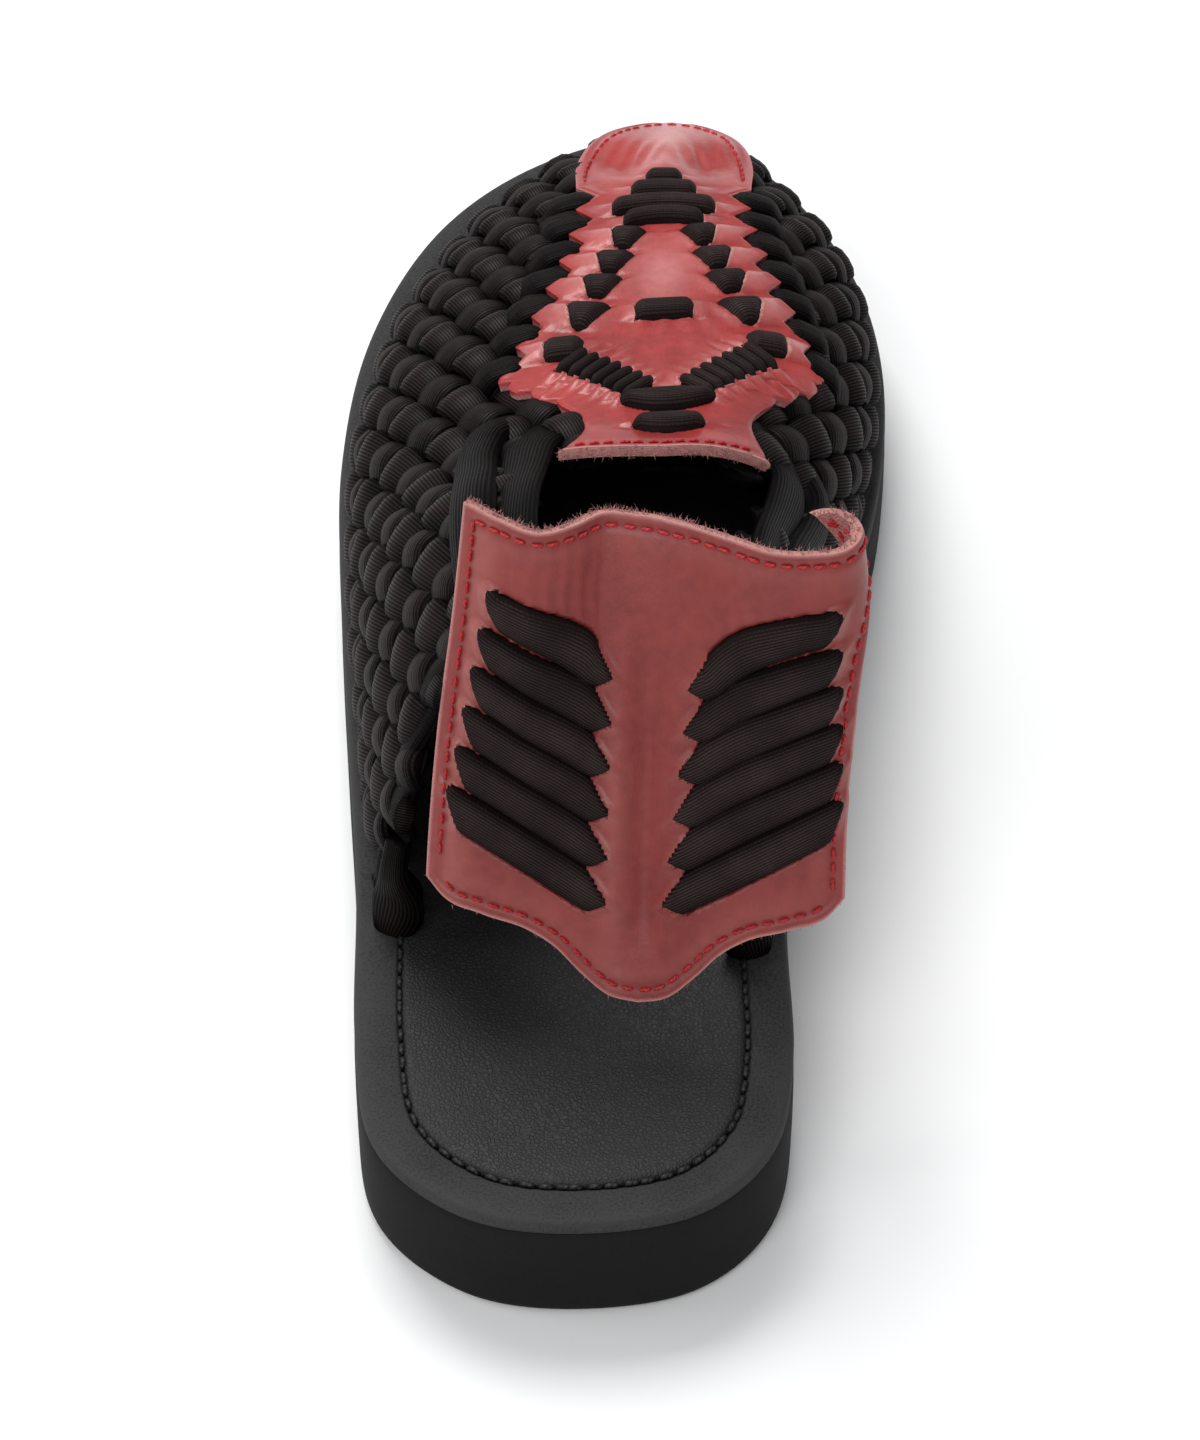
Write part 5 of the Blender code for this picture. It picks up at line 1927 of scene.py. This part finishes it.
@dataclass
class HeelStrap:
    """Leather panel behind the heel, laced with a chevron of cord runs."""

    form: StrapForm
    cord: bpy.types.Material
    thick: float = 2.4
    rows: int = 132
    columns: int = 150
    runs_a_side: int = 6
    run_wide: float = 7.7
    seam_inset: float = 2.3
    sink: float = 1.4
    spread: float = 1.9
    stitch_pitch: float = 2.9
    stitch_long: float = 2.3
    thread_radius: float = 0.34

    def runs(self) -> dict[str, CordRun]:
        """The cord runs that lace the panel.

        Returns:
            Runs by the solid that each stands for.
        """
        found = {}
        for word, *ends, bows in STRAP_RUNS:
            top_out, top_in, low_out, low_in = (np.array(end) for end in ends)
            for k in range(self.runs_a_side):
                share = k / (self.runs_a_side - 1)
                node = f"strap_bar_{k + 1}_{word}"
                start = tuple(top_out + (low_out - top_out) * share)
                end = tuple(top_in + (low_in - top_in) * share)
                found[node] = CordRun(node, start, end, self.run_wide, bow=bows[k], slant_start=3.5,
                                      blunt_start=2.2, point_end=2.4, bevel_end=4.2, swell_start=1.4,
                                      swell_end=0.9, dive=1.6)
        return found

    def outline(self, u: Array, v: Array) -> tuple[Array, Array]:
        """Developed places on the panel.

        Args:
            u: From -1 at the outer edge to 1 at the inner edge.
            v: From 0 at the hem to 1 at the top edge.

        Returns:
            Distance across and height along the panel.
        """
        hem_at, hem = column(STRAP_HEM, 0), column(STRAP_HEM, 1)
        low = smooth(np.abs(u) * hem_at[-1], hem_at, hem)
        height = low + (self.form.tall - low) * v
        outer, inner = (smooth(height, column(STRAP_SIDES, 0), column(STRAP_SIDES, k)) for k in (1, 2))
        return u * np.where(u < 0.0, outer, inner), height

    def folds(self, a: Array, b: Array) -> Array:
        """The panel's main creases: soft troughs and ridges down its middle and under its top edge.

        Args:
            a: Distance across the panel.
            b: Height along the panel.

        Returns:
            Height at each place.
        """
        spine = 1.1 * bell(a + 4.8, 2.8) + 0.8 * bell(a - 5.6, 3.0) - 1.3 * bell(a - 0.4, 2.8)
        spine = spine * ease((58.0 - b) / 30.0) * ease((b + 12.0) / 14.0)
        pucker = 0.24 * np.sin(a * 2.4 + 0.7 * np.sin(b * 0.35)) * bell(a + 16.0, 7.0) * bell(b - 57.0, 8.0)
        pucker += 0.14 * np.sin(a * 2.1) * bell(a - 17.0, 7.0) * bell(b - 55.0, 8.0)
        belly = 0.5 * bell(np.hypot(a - 1.0, (b - 56.0) * 0.8), 9.0)
        return spine + pucker + belly

    def leather(self) -> None:
        """The panel with its slits, swellings, sewn groove and raw edges."""
        u, v = np.meshgrid(np.linspace(-1.0, 1.0, self.columns + 1), np.linspace(0.0, 1.0, self.rows + 1))
        a, b = self.outline(u, v)
        half = np.abs(self.outline(np.sign(u) + (u == 0), v)[0])
        hem = self.outline(u, np.zeros_like(v))[1]
        inside = np.minimum(np.minimum(half - np.abs(a), self.form.tall - b), (b - hem) * 0.9)
        height, raw, painted_crease_shade = laced_relief(list(self.runs().values()), a, b, self.sink, self.spread)
        seam = bell(inside - self.seam_inset, 0.75)
        rim = bell(inside, 0.6)
        # painted highlight: a faint band just inside every edge, a stronger band down the outer edge and
        # one beside the middle on the outer side
        pale = 0.2 * bell(inside - 4.5, 2.0) + 0.45 * bell(half - np.abs(a) - 4.0, 3.5) * (a < 0.0)
        pale = pale + 0.35 * bell(a + 5.0, 3.0) * ease((52.0 - b) / 30.0)
        lift = self.thick / 2.0 + height + self.folds(a, b) - 0.3 * seam - 0.3 * rim
        face = self.form.lifted(a, b, lift)
        back = self.form.lifted(a, b, np.full(a.shape, -self.thick / 2.0))
        on_face = {
            "raw": np.clip(raw + 0.8 * rim, 0.0, 1.0),
            # painted shade also along the sewn groove
            "painted_crease_shade": np.clip(painted_crease_shade + 0.6 * seam, 0.0, 1.0),
            "flesh": np.zeros(a.shape),
            # painted highlight also over the swellings beside the slits
            "painted_sheen": np.clip(0.45 * height + pale, 0.0, 1.0),
            "wide": a,
            "high": b,
        }
        on_back = {"raw": 0.3 * rim, "flesh": np.ones(a.shape)}
        parts = Parts()
        parts.shell(face, back, on_face, on_back)
        parts.piece("heel_strap_leather", SHADED_STRAP_RED.material(), Slot.STRAP, "heel_strap", sharp=62.0)

    def lacing(self) -> None:
        """The cords that show between the slits."""
        for node, run in self.runs().items():
            parts = Parts()
            run.build(parts, self.form.lifted, self.thick / 2.0)
            parts.piece(node.replace("bar", "cord"), self.cord, Slot.CORD, node)

    def borders(self) -> list[Array]:
        """Developed lines along the panel's four edges, moved in to the seam.

        Returns:
            Hem, inner edge, top edge and outer edge.
        """
        even = np.linspace(0.0, 1.0, 160)
        zero, one = np.zeros(len(even)), np.ones(len(even))
        lines = []
        for u, v in ((2 * even - 1, zero), (one, even), (1 - 2 * even, one), (-one, 1 - even)):
            a, b = self.outline(u, v)
            line = np.stack([a, b], axis=1)
            along = unit(np.gradient(line, axis=0))
            line = line + self.seam_inset * np.stack([-along[:, 1], along[:, 0]], axis=1)
            run = run_length(line)
            corner = 0.7 * self.seam_inset
            lines.append(line[(run > corner) & (run < run[-1] - corner)])
        return lines

    def sewing(self, thread: bpy.types.Material, rng: np.random.Generator) -> None:
        """Stitches inside the panel's edges, on its face and its back.

        Args:
            thread: Material of the stitches.
            rng: Source of the small unevenness.
        """
        parts = Parts()
        runs = list(self.runs().values())
        for line in self.borders():
            a, b = line[:, 0], line[:, 1]
            relief, _, _ = laced_relief(runs, a, b, self.sink, self.spread)
            lift = self.thick / 2.0 + relief + self.folds(a, b) - 0.2
            for offset, turn in ((lift, 1.0), (np.full(len(a), -self.thick / 2.0), -1.0)):
                row, out = self.form.lifted(a, b, offset), turn * self.form.normal(a, b)
                stitches(parts, row, out, self.stitch_pitch, self.stitch_long, self.thread_radius, rng)
        parts.piece("heel_strap_stitches", thread, Slot.STRAP)

    def nap(self, fur: bpy.types.Material, rng: np.random.Generator) -> None:
        """Loose fibres along the raw top edge and hem.

        Args:
            fur: Material of the fibres.
            rng: Source of their places and lean.
        """
        parts = Parts()
        even = np.linspace(0.0, 1.0, 400)
        for u, high, up, count in ((1 - 2 * even, 1.0, 1.5, 900), (2 * even - 1, 0.0, -1.5, 160)):
            a, b = self.outline(u, np.full(len(u), high))
            depth = rng.uniform(-self.thick / 2.0, self.thick * 0.2, len(a))
            places = self.form.lifted(a, b, depth)
            out = unit(self.form.lifted(a, b + up, depth) - places)
            fibres(parts, places, out - 0.5 * self.form.normal(a, b), count, (0.35, 1.15), rng)
        parts.piece("heel_strap_raw_fibres", fur, Slot.STRAP)

    def build(self, thread: bpy.types.Material, fur: bpy.types.Material, rng: np.random.Generator) -> None:
        """Make the panel, its cords, its stitches and its raw edge.

        Args:
            thread: Material of the stitches.
            fur: Material of the loose fibres.
            rng: Source of the small unevenness.
        """
        self.leather()
        self.lacing()
        self.sewing(thread, rng)
        self.nap(fur, rng)


@dataclass
class Anchors:
    """Broad loops from slots beside the insole up to the rear edge of the plaited wall."""

    sole: SoleForm
    finish: bpy.types.Material
    radius: float = 2.5
    inset: float = 5.6
    belly_in: float = 2.0

    def build(self, rng: np.random.Generator) -> None:
        """Make the four loops where their solids stand.

        Args:
            rng: Source of the small unevenness.
        """
        for side in Side:
            for name in ("front", "rear"):
                node = f"anchor_cord_{name}_{side.word}"
                low, high = (np.array(corner) / MM - Parts.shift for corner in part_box(node))
                middle = (low + high) / 2.0
                base = self.sole.edge_at_y(side, middle[1], self.inset)
                head_x = low[0] + high[0] - base[0]
                route = (
                    (base[0], middle[1], low[2] - 0.8),
                    (base[0], middle[1], low[2] + 2.5),
                    ((base[0] + head_x) / 2.0, middle[1], (low[2] + high[2]) / 2.0),
                    (head_x, middle[1], high[2] - 2.0),
                    (head_x - side.value * 0.8, middle[1] + 2.0, high[2] + 2.4),
                )
                line = smooth_line(route, 40)
                parts = Parts()
                facing = np.broadcast_to((0.45 * side.value, -1.0, 0.2), line.shape)
                share = np.linspace(0.0, 1.0, len(line))
                belly = bell(share - 0.3, 0.32)
                line[:, 0] -= side.value * self.belly_in * belly
                wide = self.radius * (0.9 + 1.25 * belly)
                thick = self.radius * (0.85 - 0.15 * belly)
                parts.cord(line, unit(facing), wide, thick, ring=16, start=rng.uniform(0.0, 9.0))
                parts.piece(node.replace("anchor_cord", "anchor_loop"), self.finish, Slot.CORD, node)


@dataclass
class Studio:
    """Camera at the photograph's angle, soft lights and a pale floor."""

    eye: Point = (58.65, -886.17, 942.99)
    aim: Point = (-2.6, -18.5, 23.0)
    focal_pixels: float = 5325.0
    image_high: float = 1440.0
    closer: float = 1.27
    floor_size: float = 6.0
    lit_place: Point = (0.0, 0.0, 0.04)
    sky_colour: Colour = (0.95, 0.97, 1.0)
    sky_power: float = 0.32

    def camera(self) -> None:
        """Set the camera on the photograph's sight line, closed in on the one shoe."""
        data = bpy.data.cameras.new("camera")
        data.sensor_width = 36.0
        data.lens = self.focal_pixels * self.closer / self.image_high * data.sensor_width
        item = stand("camera", data)
        eye, aim = ((np.array(point) + Parts.shift) * MM for point in (self.eye, self.aim))
        self.turn(item, eye, aim)
        bpy.context.scene.camera = item

    @staticmethod
    def turn(item: bpy.types.Object, eye: Array, aim: Array) -> None:
        """Put an object at a place and point it at another.

        Args:
            item: The object.
            eye: Where it stands.
            aim: What it faces.
        """
        item.location = eye
        item.rotation_euler = Vector(aim - eye).to_track_quat("-Z", "Y").to_euler()

    def lamp(self, name: str, place: Point, size: float, power: float) -> None:
        """Add a square soft light that faces the shoe.

        Args:
            name: The light's name.
            place: Where it stands, in metres.
            size: Length of its side in metres.
            power: Its power in watts.
        """
        data = bpy.data.lights.new(name, "AREA")
        data.size = size
        data.energy = power
        self.turn(stand(name, data), np.array(place), np.array(self.lit_place))

    def build(self) -> None:
        """Make camera, lights, sky and floor."""
        self.camera()
        for row in LAMPS:
            self.lamp(*row)
        world = bpy.data.worlds.new("soft_sky")
        world.use_nodes = True
        sky = world.node_tree.nodes["Background"]
        sky.inputs["Color"].default_value = (*self.sky_colour, 1.0)
        sky.inputs["Strength"].default_value = self.sky_power
        bpy.context.scene.world = world
        bpy.context.scene.view_settings.view_transform = "Standard"
        tree = Tree("pale_floor")
        tone = tree.noise(400.0, 1.0)
        tree.surface(Base_Color=tree.mix(tone, (0.90, 0.90, 0.90), (0.94, 0.94, 0.94)), Roughness=0.9)
        form = bmesh.new()
        bmesh.ops.create_grid(form, x_segments=2, y_segments=2, size=self.floor_size / 2.0)
        mesh = mesh_of("floor", form)
        mesh.materials.append(tree.material)
        stand("floor", mesh)


def main() -> None:
    """Build the shoe's pieces in order and set the studio."""
    logging.basicConfig(level=logging.INFO, format="%(name)s %(message)s")
    rng = np.random.default_rng(SEED)
    sole = SoleForm()
    low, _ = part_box("outsole")
    Parts.shift = np.array((low.x / MM - sole.low[0], low.y / MM - sole.low[1], 0.0))
    last = Last(sole)
    vamp_form = VampForm(last)
    plait, collar, lacing = (finish.material() for finish in (PLAIT_CORD, COLLAR_CORD_PAINTED_SHADE, LACING_CORD_PAINTED_LIGHT))
    thread = RED_THREAD.material()
    red_fur = ThreadFinish("red_suede_fibre", RED.raw).material()
    Soles(sole).build(rng)
    PlaitedWall(last, vamp_form, plait, collar).build(rng)
    Vamp(vamp_form, lacing).build(thread, red_fur, rng)
    HeelStrap(StrapForm(), lacing).build(thread, red_fur, rng)
    Anchors(sole, plait).build(rng)
    Studio().build()


if __name__ == "__main__":
    main()
